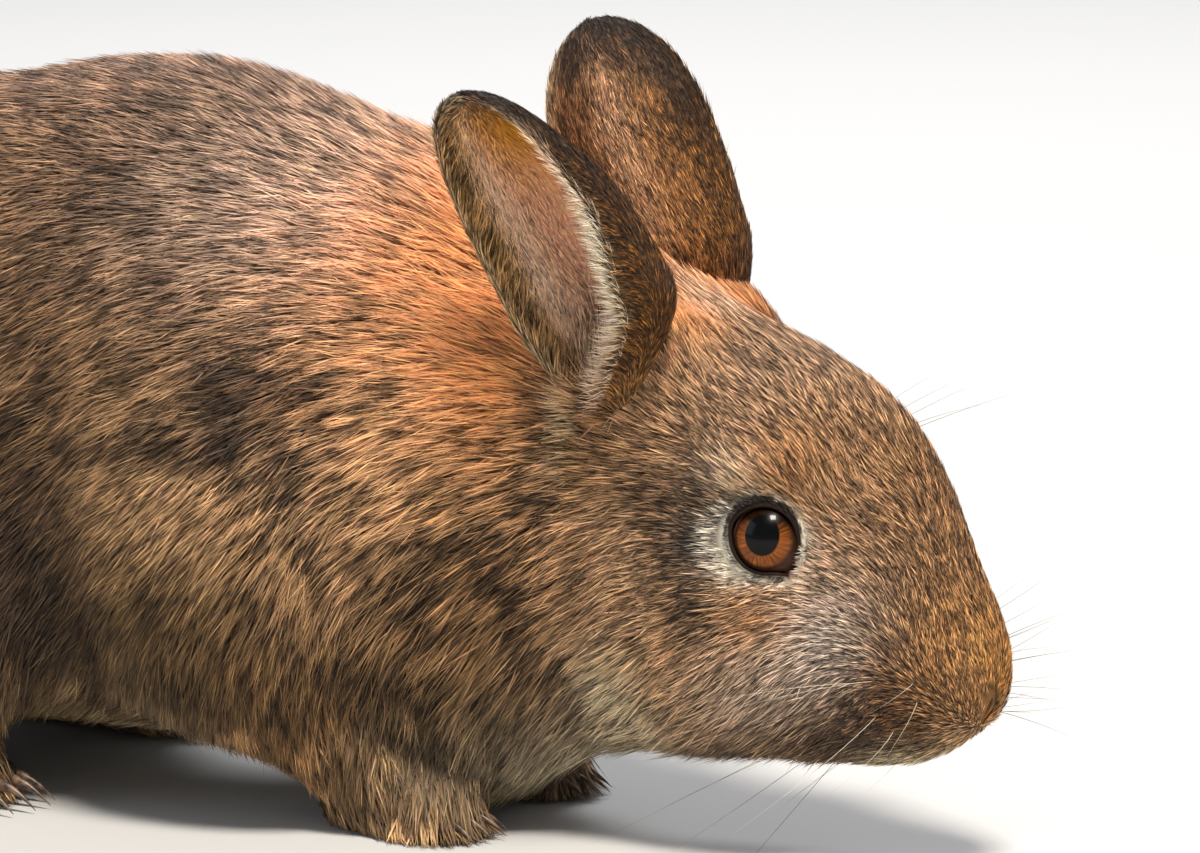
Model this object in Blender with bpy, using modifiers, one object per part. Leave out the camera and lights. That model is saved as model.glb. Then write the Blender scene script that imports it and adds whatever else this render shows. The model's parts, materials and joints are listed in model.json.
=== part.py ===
"""A life-size rabbit, crouched and grazing with its head down, as a still museum model.

The body is a set of named ovals that are melted together into one surface, which is then parted with
thin cuts into head, neck, trunk, tail, legs and feet. Its surface is the outside of the coat. The two
ears are cupped shells, and the eyes are balls set in sockets. The rabbit faces +X and stands on Z = 0.
Run it with: blender --background --python part.py
"""

import math

import bmesh
import bpy
import numpy as np
from mathutils import Matrix, Vector

# ---------------------------------------------------------------- driving sizes, in metres
EAR_LENGTH = 0.079
EAR_WIDTH = 0.059  # across the widest part, measured round the cup
EAR_WALL = 0.0028  # with the short fur on both faces
EAR_BASE = (0.1035, 0.0235, 0.0990)
EAR_ROOT = 0.48  # share of the full width that the ear has where it grows from the head
EAR_WIDEST = 0.24  # height of the widest part, as a share of the length
EAR_CURL = {0.0: 248.0, 0.5: 169.0, 1.0: 110.0}  # degrees that the cup turns through, by height
EAR_LEAN = {"right": 10.0, "left": 22.0}  # degrees back from upright
EAR_SPLAY = {"right": 26.0, "left": 1.0}  # degrees out from upright
EAR_OPENING = 11.0  # degrees by which the cup opens behind straight sideways
EYE_RADIUS = 0.0088
EYE_CENTRE = (0.1405, 0.0182, 0.0715)
MELT = 0.0070  # how softly large neighbouring forms run together
LEAST_MELT = 0.0016
MELT_SHARE = 0.35  # of a form's least half size
GAP = 0.0003  # between two parts that meet
FINE_VOXEL = 0.0021
FLESH_TRIANGLES = 3150
EAR_ROWS = 11
EAR_COLUMNS = 10
SIDES = {"right": -1.0, "left": 1.0}  # the sign of Y

COLOURS = {
    "agouti_coat": (0.30, 0.19, 0.11),
    "pale_coat": (0.55, 0.48, 0.38),
    "ear_coat": (0.28, 0.17, 0.10),
    "eye_gloss": (0.09, 0.035, 0.012),
}


def clear_scene():
    """Removes every object, so that the file holds only the rabbit."""
    for obj in list(bpy.data.objects):
        bpy.data.objects.remove(obj, do_unlink=True)


def new_collection(name):
    made = bpy.data.collections.new(name)
    bpy.context.scene.collection.children.link(made)
    return made


def material(name):
    """One Principled material for each finish, made when it is first asked for."""
    made = bpy.data.materials.get(name)
    if made is None:
        made = bpy.data.materials.new(name)
        made.use_nodes = True
        shader = made.node_tree.nodes["Principled BSDF"]
        shader.inputs["Base Color"].default_value = (*COLOURS[name], 1.0)
        shader.inputs["Roughness"].default_value = 0.05 if name == "eye_gloss" else 0.85
        shader.inputs["Metallic"].default_value = 0.0
    return made


# ---------------------------------------------------------------- the forms of the body
def oval(centre, radii, pitch=0.0, yaw=0.0):
    """An ellipsoid: its centre and half sizes in millimetres, nose-down pitch and yaw in degrees."""
    turn = Matrix.Rotation(math.radians(yaw), 3, "Z") @ Matrix.Rotation(math.radians(pitch), 3, "Y")
    return {"centre": np.array(centre) / 1000, "radii": np.array(radii) / 1000, "turn": np.array(turn)}


def both(centre, radii, pitch=0.0, yaw=0.0):
    """The same oval on the rabbit's left, at +Y, and on its right."""
    x, y, z = centre
    return [oval((x, y, z), radii, pitch, yaw), oval((x, -y, z), radii, pitch, -yaw)]


def toes(x, y, z, count, spread, radii):
    """A row of toes across the front of both paws, the middle ones furthest forward."""
    made = []
    for k in range(count):
        across = k - (count - 1) / 2
        made += both((x - 1.6 * across**2, y + spread * across, z), radii)
    return made


TRUNK = [
    oval((42, 0, 80), (62, 43, 66), pitch=14),  # chest and withers
    oval((-14, 0, 91), (80, 51, 70)),  # barrel
    oval((-80, 0, 83), (72, 50, 70), pitch=-8),  # rump
    oval((58, 0, 39), (36, 30, 33), pitch=-8),  # breast
    oval((-20, 0, 50), (80, 44, 34)),  # belly
]
NECK = [
    oval((85, 0, 85), (45, 34, 41), pitch=33),
    oval((100, 0, 46), (24, 17, 24), pitch=-10),  # throat
]
HEAD = [
    oval((124, 0, 83), (32, 20.5, 28), pitch=26),  # cranium
    oval((152, 0, 71), (33, 16.5, 22), pitch=60),  # forehead and bridge of the nose
    oval((170, 0, 46), (17, 12, 15.5), pitch=62),  # muzzle
    *both((126, 12, 53), (27, 13, 26), pitch=38),  # cheeks
    *both((143, 14, 84), (13, 7.5, 9), pitch=45),  # brow ridges
    *both((168, 6.5, 39), (13, 7.5, 10), pitch=22),  # whisker pads
    *both((108, 20, 99), (15, 9.5, 19), pitch=-14),  # roots of the ears
    oval((156, 0, 30), (17, 9.5, 8.5)),  # chin
    oval((132, 0, 37), (28, 15, 16), pitch=-2),  # jaw
]
FORELEGS = [
    *both((17, 37, 58), (28, 15.5, 37), pitch=-16),  # shoulder and upper arm
    *both((34, 29, 26), (23, 9.5, 12), pitch=33),  # forearm
    *both((52, 24, 9), (17, 8.5, 8.5)),  # paw
    *toes(65, 24, 6.3, 4, 4.6, (7, 2.7, 5.6)),
]
HINDLEGS = [
    *both((-88, 38, 65), (52, 22, 52), pitch=-11),  # thigh
    *both((-53, 42, 42), (27, 15, 28), pitch=20),  # knee
    *both((-98, 42, 12), (39, 11, 11), pitch=-3),  # long foot, from the heel
    *both((-66, 44, 9), (26, 11, 8.7)),  # ball of the long foot
    *toes(-43, 44, 7, 4, 5.8, (9, 3.3, 6.6)),
]
TAIL = [oval((-156, 0, 60), (12, 14, 26), pitch=-16)]
FORMS = TRUNK + NECK + HEAD + FORELEGS + HINDLEGS + TAIL


def oval_distance(points, form):
    """Roughly how far each point is outside the oval: k0 (k0 - 1) / k1, with k0 = |p / r|, k1 = |p / r^2|."""
    local = (points - form["centre"]) @ form["turn"]
    k0 = np.linalg.norm(local / form["radii"], axis=1)
    k1 = np.linalg.norm(local / form["radii"] ** 2, axis=1)
    return k0 * (k0 - 1.0) / np.maximum(k1, 1e-9)


def softness(form):
    """Small forms melt less into their neighbours than large ones."""
    return float(np.clip(form["radii"].min() * MELT_SHARE, LEAST_MELT, MELT))


def body_distance(points):
    """All forms melted together: -s log(sum(exp(-d / s))), where s is the mean softness of what is near."""
    total = np.zeros(len(points))
    weighted = np.zeros(len(points))
    for form in FORMS:
        soft = softness(form)
        near = np.exp(np.clip(-oval_distance(points, form) / soft, -60, 60))
        total += near
        weighted += soft * near
    return -weighted / np.maximum(total, 1e-30) * np.log(np.maximum(total, 1e-30))


def slope(points, step=2e-4):
    """The direction in which body_distance grows, by central differences."""
    found = np.empty_like(points)
    for axis in range(3):
        shift = np.zeros(3)
        shift[axis] = step
        found[:, axis] = (body_distance(points + shift) - body_distance(points - shift)) / (2 * step)
    return found


# ---------------------------------------------------------------- mesh helpers
def object_from(name, built, home):
    """A new object in the collection home, holding the bmesh."""
    mesh = bpy.data.meshes.new(name)
    built.to_mesh(mesh)
    built.free()
    obj = bpy.data.objects.new(name, mesh)
    home.objects.link(obj)
    return obj


def bake_modifiers(obj):
    """Puts what the modifiers make into the mesh itself."""
    graph = bpy.context.evaluated_depsgraph_get()
    graph.update()
    mesh = bpy.data.meshes.new_from_object(obj.evaluated_get(graph))
    obj.modifiers.clear()
    obj.data = mesh


def points_of(mesh):
    flat = np.empty(len(mesh.vertices) * 3)
    mesh.vertices.foreach_get("co", flat)
    return flat.reshape(-1, 3)


def set_points(mesh, points):
    mesh.vertices.foreach_set("co", points.ravel())
    mesh.update()


def boolean(obj, cutter, operation):
    """Applies one Boolean at once. On this flesh EXACT loses the whole body, so MANIFOLD makes the cuts."""
    step = obj.modifiers.new(operation.lower(), "BOOLEAN")
    step.operation = operation
    step.solver = "MANIFOLD"
    step.object = cutter
    bake_modifiers(obj)


def copy_of(obj, name, home):
    made = bpy.data.objects.new(name, obj.data.copy())
    home.objects.link(made)
    return made


def discard(obj):
    bpy.data.objects.remove(obj, do_unlink=True)


# ---------------------------------------------------------------- cutters
def block(low, high, helpers, grow=0.0, lean=0.0):
    """A cutting box between two corners in millimetres, turned about Y by lean, larger by grow all round."""
    low = np.array(low) / 1000 - grow
    high = np.array(high) / 1000 + grow
    built = bmesh.new()
    middle = Matrix.Translation(Vector((low + high) / 2)) @ Matrix.Rotation(math.radians(lean), 4, "Y")
    bmesh.ops.create_cube(built, size=1.0, matrix=middle @ Matrix.Diagonal((*(high - low), 1.0)))
    return object_from("cutter", built, helpers)


def ball(centre, radii, helpers, grow=0.0):
    """A cutting ellipsoid in millimetres, larger by grow all round."""
    built = bmesh.new()
    radii = np.array(radii) / 1000 + grow
    place = Matrix.Translation(Vector(np.array(centre) / 1000)) @ Matrix.Diagonal((*radii, 1.0))
    bmesh.ops.create_uvsphere(built, u_segments=20, v_segments=10, radius=1.0, matrix=place)
    return object_from("cutter", built, helpers)


def part_off(flesh, name, cutter, shape, helpers, home, **lean):
    """Takes what lies in the cutter off the flesh as a part of its own, with GAP between the two."""
    part = copy_of(flesh, name, home)
    inside = cutter(*shape, helpers, **lean)
    boolean(part, inside, "INTERSECT")
    larger = cutter(*shape, helpers, grow=GAP, **lean)
    boolean(flesh, larger, "DIFFERENCE")
    discard(inside)
    discard(larger)
    return part


def mirrored(low, high, side):
    """The corners of a box given for the rabbit's left, put on the given side."""
    ends = sorted((low[1] * side, high[1] * side))
    return (low[0], ends[0], low[2]), (high[0], ends[1], high[2])


# ---------------------------------------------------------------- from forms to one flesh surface
def melted_flesh(helpers):
    """Every oval as a UV sphere, voxel remeshed into one skin and settled on the melted surface."""
    built = bmesh.new()
    for form in FORMS:
        place = Matrix.Translation(form["centre"]) @ Matrix(form["turn"].tolist()).to_4x4()
        place = place @ Matrix.Diagonal((*form["radii"], 1.0))
        bmesh.ops.create_uvsphere(built, u_segments=32, v_segments=20, radius=1.0, matrix=place)
    flesh = object_from("flesh", built, helpers)
    remesh = flesh.modifiers.new("one_skin", "REMESH")
    remesh.mode = "VOXEL"
    remesh.voxel_size = FINE_VOXEL
    bake_modifiers(flesh)
    points = points_of(flesh.data)
    for _ in range(6):
        away = slope(points)
        steepness = np.maximum((away**2).sum(1, keepdims=True), 0.05)
        move = body_distance(points)[:, None] * away / steepness
        points -= np.clip(move, -0.004, 0.004)
    set_points(flesh.data, points)
    fewer = flesh.modifiers.new("fewer", "DECIMATE")
    fewer.ratio = FLESH_TRIANGLES / (2 * len(flesh.data.polygons))
    fewer.use_collapse_triangulate = True
    bake_modifiers(flesh)
    return flesh


def flatten_soles(flesh, helpers):
    """Cuts the undersides of the four feet flat at Z = 0, where the rabbit stands."""
    floor = block((-300, -200, -40), (300, 200, 0), helpers)
    boolean(flesh, floor, "DIFFERENCE")
    discard(floor)


# ---------------------------------------------------------------- ears and eyes
def ear_axes(side_name):
    """Unit vectors up the ear, out of its cup's opening, and across it towards the front edge."""
    side = SIDES[side_name]
    lean = math.radians(EAR_LEAN[side_name])
    splay = math.radians(EAR_SPLAY[side_name])
    up = Vector((-math.sin(lean) * math.cos(splay), side * math.sin(splay), math.cos(lean) * math.cos(splay)))
    outward = Vector((0, side, 0))
    outward = (outward - up * outward.dot(up)).normalized()
    opening = Matrix.Rotation(side * math.radians(EAR_OPENING), 3, up) @ outward
    across = up.cross(opening) * -side
    return up, opening, across


def ear_shape(rows, columns, side_name):
    """Places of the ear's middle surface, on a grid from root to tip and from rear edge to front edge.

    Each row is a curve whose heading grows with the square of the way across, so that the rear half
    is nearly flat and the front edge curls over. The rows turn less towards the tip. Their length
    grows to the full width low down, then falls as a quarter of an ellipse to a round tip.
    """
    up, opening, across = (np.array(axis) for axis in ear_axes(side_name))
    rise = np.clip(rows / EAR_WIDEST, 0, 1)
    fall = np.clip(rows - EAR_WIDEST, 0, 1) / (1.01 - EAR_WIDEST)
    width = EAR_WIDTH * (EAR_ROOT + (1 - EAR_ROOT) * rise**2 * (3 - 2 * rise)) * np.sqrt(1 - fall**2)
    curl = np.radians(np.interp(rows, list(EAR_CURL), list(EAR_CURL.values())))
    heading = curl[:, None] * columns[None, :] ** 2.1
    step = np.diff(columns, prepend=0.0)
    along = np.cumsum(np.cos(heading) * step, axis=1)
    depth = np.cumsum(np.sin(heading) * step, axis=1)
    tilt = np.arctan2(depth[:, -1:], along[:, -1:])
    sideways = (along * np.cos(tilt) + depth * np.sin(tilt)) * width[:, None]
    inwards = (depth * np.cos(tilt) - along * np.sin(tilt)) * width[:, None]
    sideways -= sideways[:, -1:] / 2
    base = np.array(EAR_BASE) * (1, SIDES[side_name], 1)
    return (
        base
        + (rows * EAR_LENGTH)[:, None, None] * up
        + sideways[..., None] * across
        + inwards[..., None] * opening
    )


def ear(side_name, whole_flesh, home, helpers):
    """A cupped shell from its middle surface and Solidify, cut off where it meets the flesh."""
    built = bmesh.new()
    bmesh.ops.create_grid(built, x_segments=EAR_COLUMNS, y_segments=EAR_ROWS, size=1.0)
    obj = object_from("ear_" + side_name, built, home)
    rows = np.sin(np.linspace(0, math.pi / 2, EAR_ROWS + 1))  # they crowd together towards the tip
    columns = np.linspace(0, 1, EAR_COLUMNS + 1)
    set_points(obj.data, ear_shape(rows, columns, side_name).reshape(-1, 3))
    shell = obj.modifiers.new("wall", "SOLIDIFY")
    shell.thickness = EAR_WALL
    shell.offset = 0.0
    shell.use_even_offset = False
    bake_modifiers(obj)
    repaired = bmesh.new()
    repaired.from_mesh(obj.data)
    bmesh.ops.recalc_face_normals(repaired, faces=repaired.faces)
    repaired.to_mesh(obj.data)
    repaired.free()
    room = copy_of(whole_flesh, "room", helpers)
    normals = np.empty(len(room.data.vertices) * 3, np.float32)
    room.data.vertices.foreach_get("normal", normals)
    set_points(room.data, points_of(room.data) + normals.reshape(-1, 3) * GAP * 1.5)
    boolean(obj, room, "DIFFERENCE")
    discard(room)
    return obj


def eye(side_name, head, home, helpers):
    """A ball in a socket that leaves GAP round it."""
    centre = np.array(EYE_CENTRE) * (1, SIDES[side_name], 1)
    room = ball(centre * 1000, [EYE_RADIUS * 1000] * 3, helpers, grow=GAP)
    boolean(head, room, "DIFFERENCE")
    discard(room)
    built = bmesh.new()
    place = Matrix.Translation(Vector(centre)) @ Matrix.Rotation(math.pi / 2, 4, "X")
    bmesh.ops.create_uvsphere(built, u_segments=18, v_segments=10, radius=EYE_RADIUS, matrix=place)
    return object_from("eye_" + side_name, built, home)


# ---------------------------------------------------------------- the rabbit
def parted_body(flesh, rabbit, helpers):
    """Parts the flesh where a person would name its parts, from the ends of the body inwards."""
    parts = {}

    def cut(name, cutter, *shape, **lean):
        parts[name] = part_off(flesh, name, cutter, shape, helpers, rabbit, **lean)

    cut("tail", block, (-200, -26, 20), (-148, 26, 100))
    for side_name, side in SIDES.items():
        cut("hindfoot_" + side_name, block, *mirrored((-175, 28, -5), (-20, 80, 20), side))
        cut("thigh_" + side_name, ball, (-84, 60 * side, 56), (64, 37, 62))
        cut("forepaw_" + side_name, block, *mirrored((31, 12, -5), (84, 48, 14), side))
        cut("foreleg_" + side_name, ball, (21, 44 * side, 45), (40, 24, 50))
    cut("head", block, (98, -80, -60), (260, 80, 200), lean=3.0)
    cut("neck", block, (68, -80, -60), (180, 80, 200), lean=8.0)
    parts["trunk"] = flesh
    flesh.name = "trunk"
    return parts


def main():
    clear_scene()
    rabbit = new_collection("rabbit")
    helpers = new_collection("helpers")
    flesh = melted_flesh(helpers)
    flatten_soles(flesh, helpers)
    helpers.objects.unlink(flesh)
    rabbit.objects.link(flesh)
    ears = {"ear_" + side_name: ear(side_name, flesh, rabbit, helpers) for side_name in SIDES}
    parts = parted_body(flesh, rabbit, helpers)
    parts.update(ears)
    for side_name in SIDES:
        parts["eye_" + side_name] = eye(side_name, parts["head"], rabbit, helpers)
    finish_of = {"ear": "ear_coat", "eye": "eye_gloss", "tail": "pale_coat"}
    for name, obj in parts.items():
        obj.data.materials.clear()
        obj.data.materials.append(material(finish_of.get(name.split("_")[0], "agouti_coat")))
    corners = np.vstack([points_of(obj.data) for obj in parts.values()])
    low, high = corners.min(0), corners.max(0)
    middle = np.array([(low[0] + high[0]) / 2, (low[1] + high[1]) / 2, 0.0])
    for name, obj in parts.items():
        set_points(obj.data, points_of(obj.data) - middle)
        obj.data.shade_smooth()
        obj.data.set_sharp_from_angle(angle=math.radians(50))
        print(name, sum(len(face.vertices) - 2 for face in obj.data.polygons), "triangles")
    print("length, width, height in mm:", np.round((high - low) * 1000, 1))
    print("moved back by", np.round(middle * 1000, 2), "mm")
    bpy.data.collections.remove(helpers)


main()
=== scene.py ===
# %% [markdown]
# # A grazing rabbit
# The solids of this rabbit are already made, in named parts. This script gives them their looks:
# one skin in place of the parts of flesh, a coat of small tufts over it, and eyes, whiskers and
# claws as pieces of their own. It works in metres, with +X towards the nose and +Z up.

# %% Load the frame
import json
import math

import bmesh
import bpy
import numpy as np
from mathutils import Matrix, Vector

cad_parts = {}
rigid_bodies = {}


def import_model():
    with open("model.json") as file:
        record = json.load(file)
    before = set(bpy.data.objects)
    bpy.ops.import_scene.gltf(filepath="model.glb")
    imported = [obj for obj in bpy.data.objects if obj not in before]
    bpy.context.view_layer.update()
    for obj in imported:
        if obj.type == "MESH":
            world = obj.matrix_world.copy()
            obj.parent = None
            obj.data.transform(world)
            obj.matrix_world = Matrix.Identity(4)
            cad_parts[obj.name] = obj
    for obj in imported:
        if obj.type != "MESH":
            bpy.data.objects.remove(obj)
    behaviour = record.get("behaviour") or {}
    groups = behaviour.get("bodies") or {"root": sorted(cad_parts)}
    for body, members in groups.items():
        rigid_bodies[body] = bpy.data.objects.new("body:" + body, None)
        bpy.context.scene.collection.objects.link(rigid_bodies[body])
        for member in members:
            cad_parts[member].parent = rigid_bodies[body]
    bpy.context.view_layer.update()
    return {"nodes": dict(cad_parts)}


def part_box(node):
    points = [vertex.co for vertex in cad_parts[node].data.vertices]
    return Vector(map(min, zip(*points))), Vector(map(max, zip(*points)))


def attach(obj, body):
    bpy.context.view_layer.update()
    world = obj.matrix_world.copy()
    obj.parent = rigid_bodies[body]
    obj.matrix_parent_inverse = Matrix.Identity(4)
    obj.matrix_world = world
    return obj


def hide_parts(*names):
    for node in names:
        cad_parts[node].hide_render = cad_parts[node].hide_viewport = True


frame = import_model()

MM = 0.001
print("solids:", sorted(frame["nodes"]))

# %% [markdown]
# ## Where things are
# Every place on the body is given in millimetres in the rabbit's own frame, which has its middle
# plane at Y = 0 and its floor at Z = 0. Places could be typed in the metres of the solids, but each
# would change if the solids were shifted. So the two eyeballs tie the frame to the solids: their
# middle lies 140.5 mm in front of its origin. Places on the right side have a negative Y.

# %% Places on the rabbit
EYE_PLACE = np.array([140.5, 18.2, 71.5])
eye_low, eye_high = (np.array(corner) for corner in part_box("eye_right"))
other_low, other_high = (np.array(corner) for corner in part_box("eye_left"))
EYE_RADIUS = float(eye_high[2] - eye_low[2]) / 2
between_eyes = (eye_low + eye_high + other_low + other_high) / 4
ORIGIN = between_eyes - EYE_PLACE * (1, 0, 1) * MM
SIDES = {"right": -1.0, "left": 1.0}


def at(x, y, z):
    """A place in metres, from millimetres in the rabbit's own frame."""
    return ORIGIN + np.array([x, y, z]) * MM


def own(points):
    """Millimetres in the rabbit's own frame, with Y always on the right side, from places in metres."""
    local = (points - ORIGIN) / MM
    local[:, 1] = -np.abs(local[:, 1])
    return local


def unit(vectors):
    """Each row divided by its length."""
    return vectors / np.maximum(np.linalg.norm(vectors, axis=-1, keepdims=True), 1e-12)


print("origin of the rabbit's own frame:", ORIGIN.round(4), "eye radius:", round(EYE_RADIUS, 4))

# %% [markdown]
# ## Small helpers for meshes
# Vertices could be added one by one, but arrays go into a mesh in one call each with foreach_set,
# which is many times quicker. A grid of places becomes quads by pairing each row with the next.


# %% Arrays into meshes and out of them
def object_of(name, mesh):
    """A new object in the scene, at the origin and unturned."""
    obj = bpy.data.objects.new(name, mesh)
    bpy.context.scene.collection.objects.link(obj)
    return obj


def mesh_from(name, points, corners, sizes):
    """A mesh from places, the flat list of the faces' corners, and how many corners each face has."""
    mesh = bpy.data.meshes.new(name)
    mesh.vertices.add(len(points))
    mesh.vertices.foreach_set("co", np.asarray(points, np.float32).ravel())
    mesh.loops.add(len(corners))
    mesh.loops.foreach_set("vertex_index", np.asarray(corners, np.int32))
    mesh.polygons.add(len(sizes))
    starts = np.concatenate([[0], np.cumsum(sizes)[:-1]])
    mesh.polygons.foreach_set("loop_start", starts.astype(np.int32))
    mesh.polygons.foreach_set("use_smooth", np.ones(len(sizes), bool))
    mesh.update(calc_edges=True)
    return mesh


def grid_quads(rows, columns, closed):
    """Corners of the quads of a grid; closed joins each row's last place to its first."""
    row, column = np.meshgrid(np.arange(rows - 1), np.arange(columns - (not closed)), indexing="ij")
    here = row * columns + column
    beside = row * columns + (column + 1) % columns
    return np.stack([here, beside, beside + columns, here + columns], -1).reshape(-1, 4)


def surface(name, places, closed=True, caps=()):
    """A mesh object from a (rows, columns, 3) grid of places, with its first or last row capped."""
    rows, columns = places.shape[:2]
    quads = grid_quads(rows, columns, closed)
    corners, sizes = [quads.ravel()], [np.full(len(quads), 4)]
    for cap in caps:
        last = np.arange(columns) + (rows - 1) * columns
        corners.append(np.arange(columns)[::-1] if cap == "first" else last)
        sizes.append([columns])
    mesh = mesh_from(name, places.reshape(-1, 3), np.concatenate(corners), np.concatenate(sizes))
    return object_of(name, mesh)


def points_of(mesh):
    """The vertices' places, a row each."""
    flat = np.empty(len(mesh.vertices) * 3, np.float32)
    mesh.vertices.foreach_get("co", flat)
    return flat.reshape(-1, 3).astype(float)


def set_points(mesh, points):
    """Moves the vertices to those places."""
    mesh.vertices.foreach_set("co", points.astype(np.float32).ravel())
    mesh.update()


def normals_of(mesh):
    """The vertices' normals, a row each."""
    flat = np.empty(len(mesh.vertices) * 3, np.float32)
    mesh.vertices.foreach_get("normal", flat)
    return flat.reshape(-1, 3).astype(float)


def own_colours(mesh, name, colours):
    """Stores a colour for each vertex under that name, with an alpha of 1."""
    layer = mesh.attributes.new(name, "FLOAT_COLOR", "POINT")
    opaque = np.ones((len(colours), 4), np.float32)
    opaque[:, :3] = colours
    layer.data.foreach_set("color", opaque.ravel())


def own_values(mesh, name, values):
    """Stores a number for each vertex under that name."""
    layer = mesh.attributes.new(name, "FLOAT", "POINT")
    layer.data.foreach_set("value", np.asarray(values, np.float32))


# %% [markdown]
# ## Small helpers for objects
# A modifier could stay live on its object. Here each one is baked at once, because the next step
# reads the vertices that it makes.


# %% Modifiers, joins and clean faces
def bake(obj):
    """Puts what the modifiers make into the mesh itself."""
    graph = bpy.context.evaluated_depsgraph_get()
    graph.update()
    mesh = bpy.data.meshes.new_from_object(obj.evaluated_get(graph))
    obj.modifiers.clear()
    obj.data = mesh


def modify(obj, kind, **settings):
    """Adds a modifier of that kind with those settings and bakes it."""
    step = obj.modifiers.new(kind.lower(), kind)
    for key, value in settings.items():
        setattr(step, key, value)
    bake(obj)


def combined(obj, operation, other):
    """A Boolean of two closed meshes, after which the other one is removed."""
    modify(obj, "BOOLEAN", operation=operation, solver="MANIFOLD", object=other)
    bpy.data.objects.remove(other, do_unlink=True)


def joined(name, objects):
    """One object from several, which are removed."""
    built = bmesh.new()
    for obj in objects:
        built.from_mesh(obj.data)
    mesh = bpy.data.meshes.new(name)
    built.to_mesh(mesh)
    built.free()
    for obj in objects:
        bpy.data.objects.remove(obj, do_unlink=True)
    return object_of(name, mesh)


def merged(obj, distance, outwards=True):
    """Merges vertices closer than the distance, and turns all faces outwards if asked."""
    mending = bmesh.new()
    mending.from_mesh(obj.data)
    bmesh.ops.remove_doubles(mending, verts=mending.verts, dist=distance)
    if outwards:
        bmesh.ops.recalc_face_normals(mending, faces=mending.faces)
    mending.to_mesh(obj.data)
    mending.free()
    return obj


# %% [markdown]
# ## Chance that stays the same
# Fur looks alive when it varies on several scales. A noise texture could vary its colour, but the
# tufts' shapes need the same swings. Ripples are smooth swings over a few millimetres, made from
# plane waves. Clumps are little gatherings of tufts: space is cut into cells, each holds one centre
# at a place that its own whole numbers decide, and each tuft leans to the nearest. Both give the
# same answer each run.


# %% Ripples and clumps
def ripple(points, size, seed):
    """Mean of 14 plane waves of about the given wavelength in metres, from -1 to 1."""
    waves = np.random.default_rng(seed)
    total = np.zeros(len(points))
    for direction in unit(waves.normal(size=(14, 3))):
        wavelength = size * waves.uniform(0.7, 1.5)
        total += np.cos(points @ direction * (2 * math.pi / wavelength) + waves.uniform(0, 6.283))
    return np.clip(total / 14 * 2.6, -1, 1)


def hashed(cells, salt):
    """Numbers from 0 to 1 that depend only on the three whole numbers of each cell and on salt."""
    mixed = cells[:, 0] * 73856093 ^ cells[:, 1] * 19349663 ^ cells[:, 2] * 83492791 ^ (salt * 2654435761)
    mixed = (mixed ^ (mixed >> 13)) * 1274126177 & 0xFFFFFFFF
    mixed = (mixed ^ (mixed >> 16)) * 2246822519 & 0xFFFFFFFF
    return (mixed & 0xFFFFFF) / float(0x1000000)


def clumps(points, size):
    """For each point the way to the nearest clump's centre, and that clump's own number."""
    home = np.floor(points / size).astype(np.int64)
    nearest = np.full(len(points), np.inf)
    way = np.zeros_like(points)
    number = np.zeros(len(points))
    for corner in np.ndindex(3, 3, 3):
        cell = home + np.array(corner) - 1
        centre = (cell + np.stack([hashed(cell, salt) for salt in (1, 2, 3)], 1)) * size
        gap = np.linalg.norm(centre - points, axis=1)
        closer = gap < nearest
        nearest[closer] = gap[closer]
        way[closer] = (centre - points)[closer]
        number[closer] = hashed(cell, 4)[closer]
    return way, number


# %% [markdown]
# ## The lie of the coat
# Hair runs from the nose back over the head, swirls down over the cheek, lies back along the
# trunk and down the legs, and points to the toes. A coat could be combed by hand with a brush, but
# a list can be read and mended. Each row below is a place on the right side, the way that the hair
# lies there, its length in millimetres, and how steeply it leaves the skin in degrees. Between the
# places the rows are blended by how near they are. The left side mirrors them.

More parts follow.
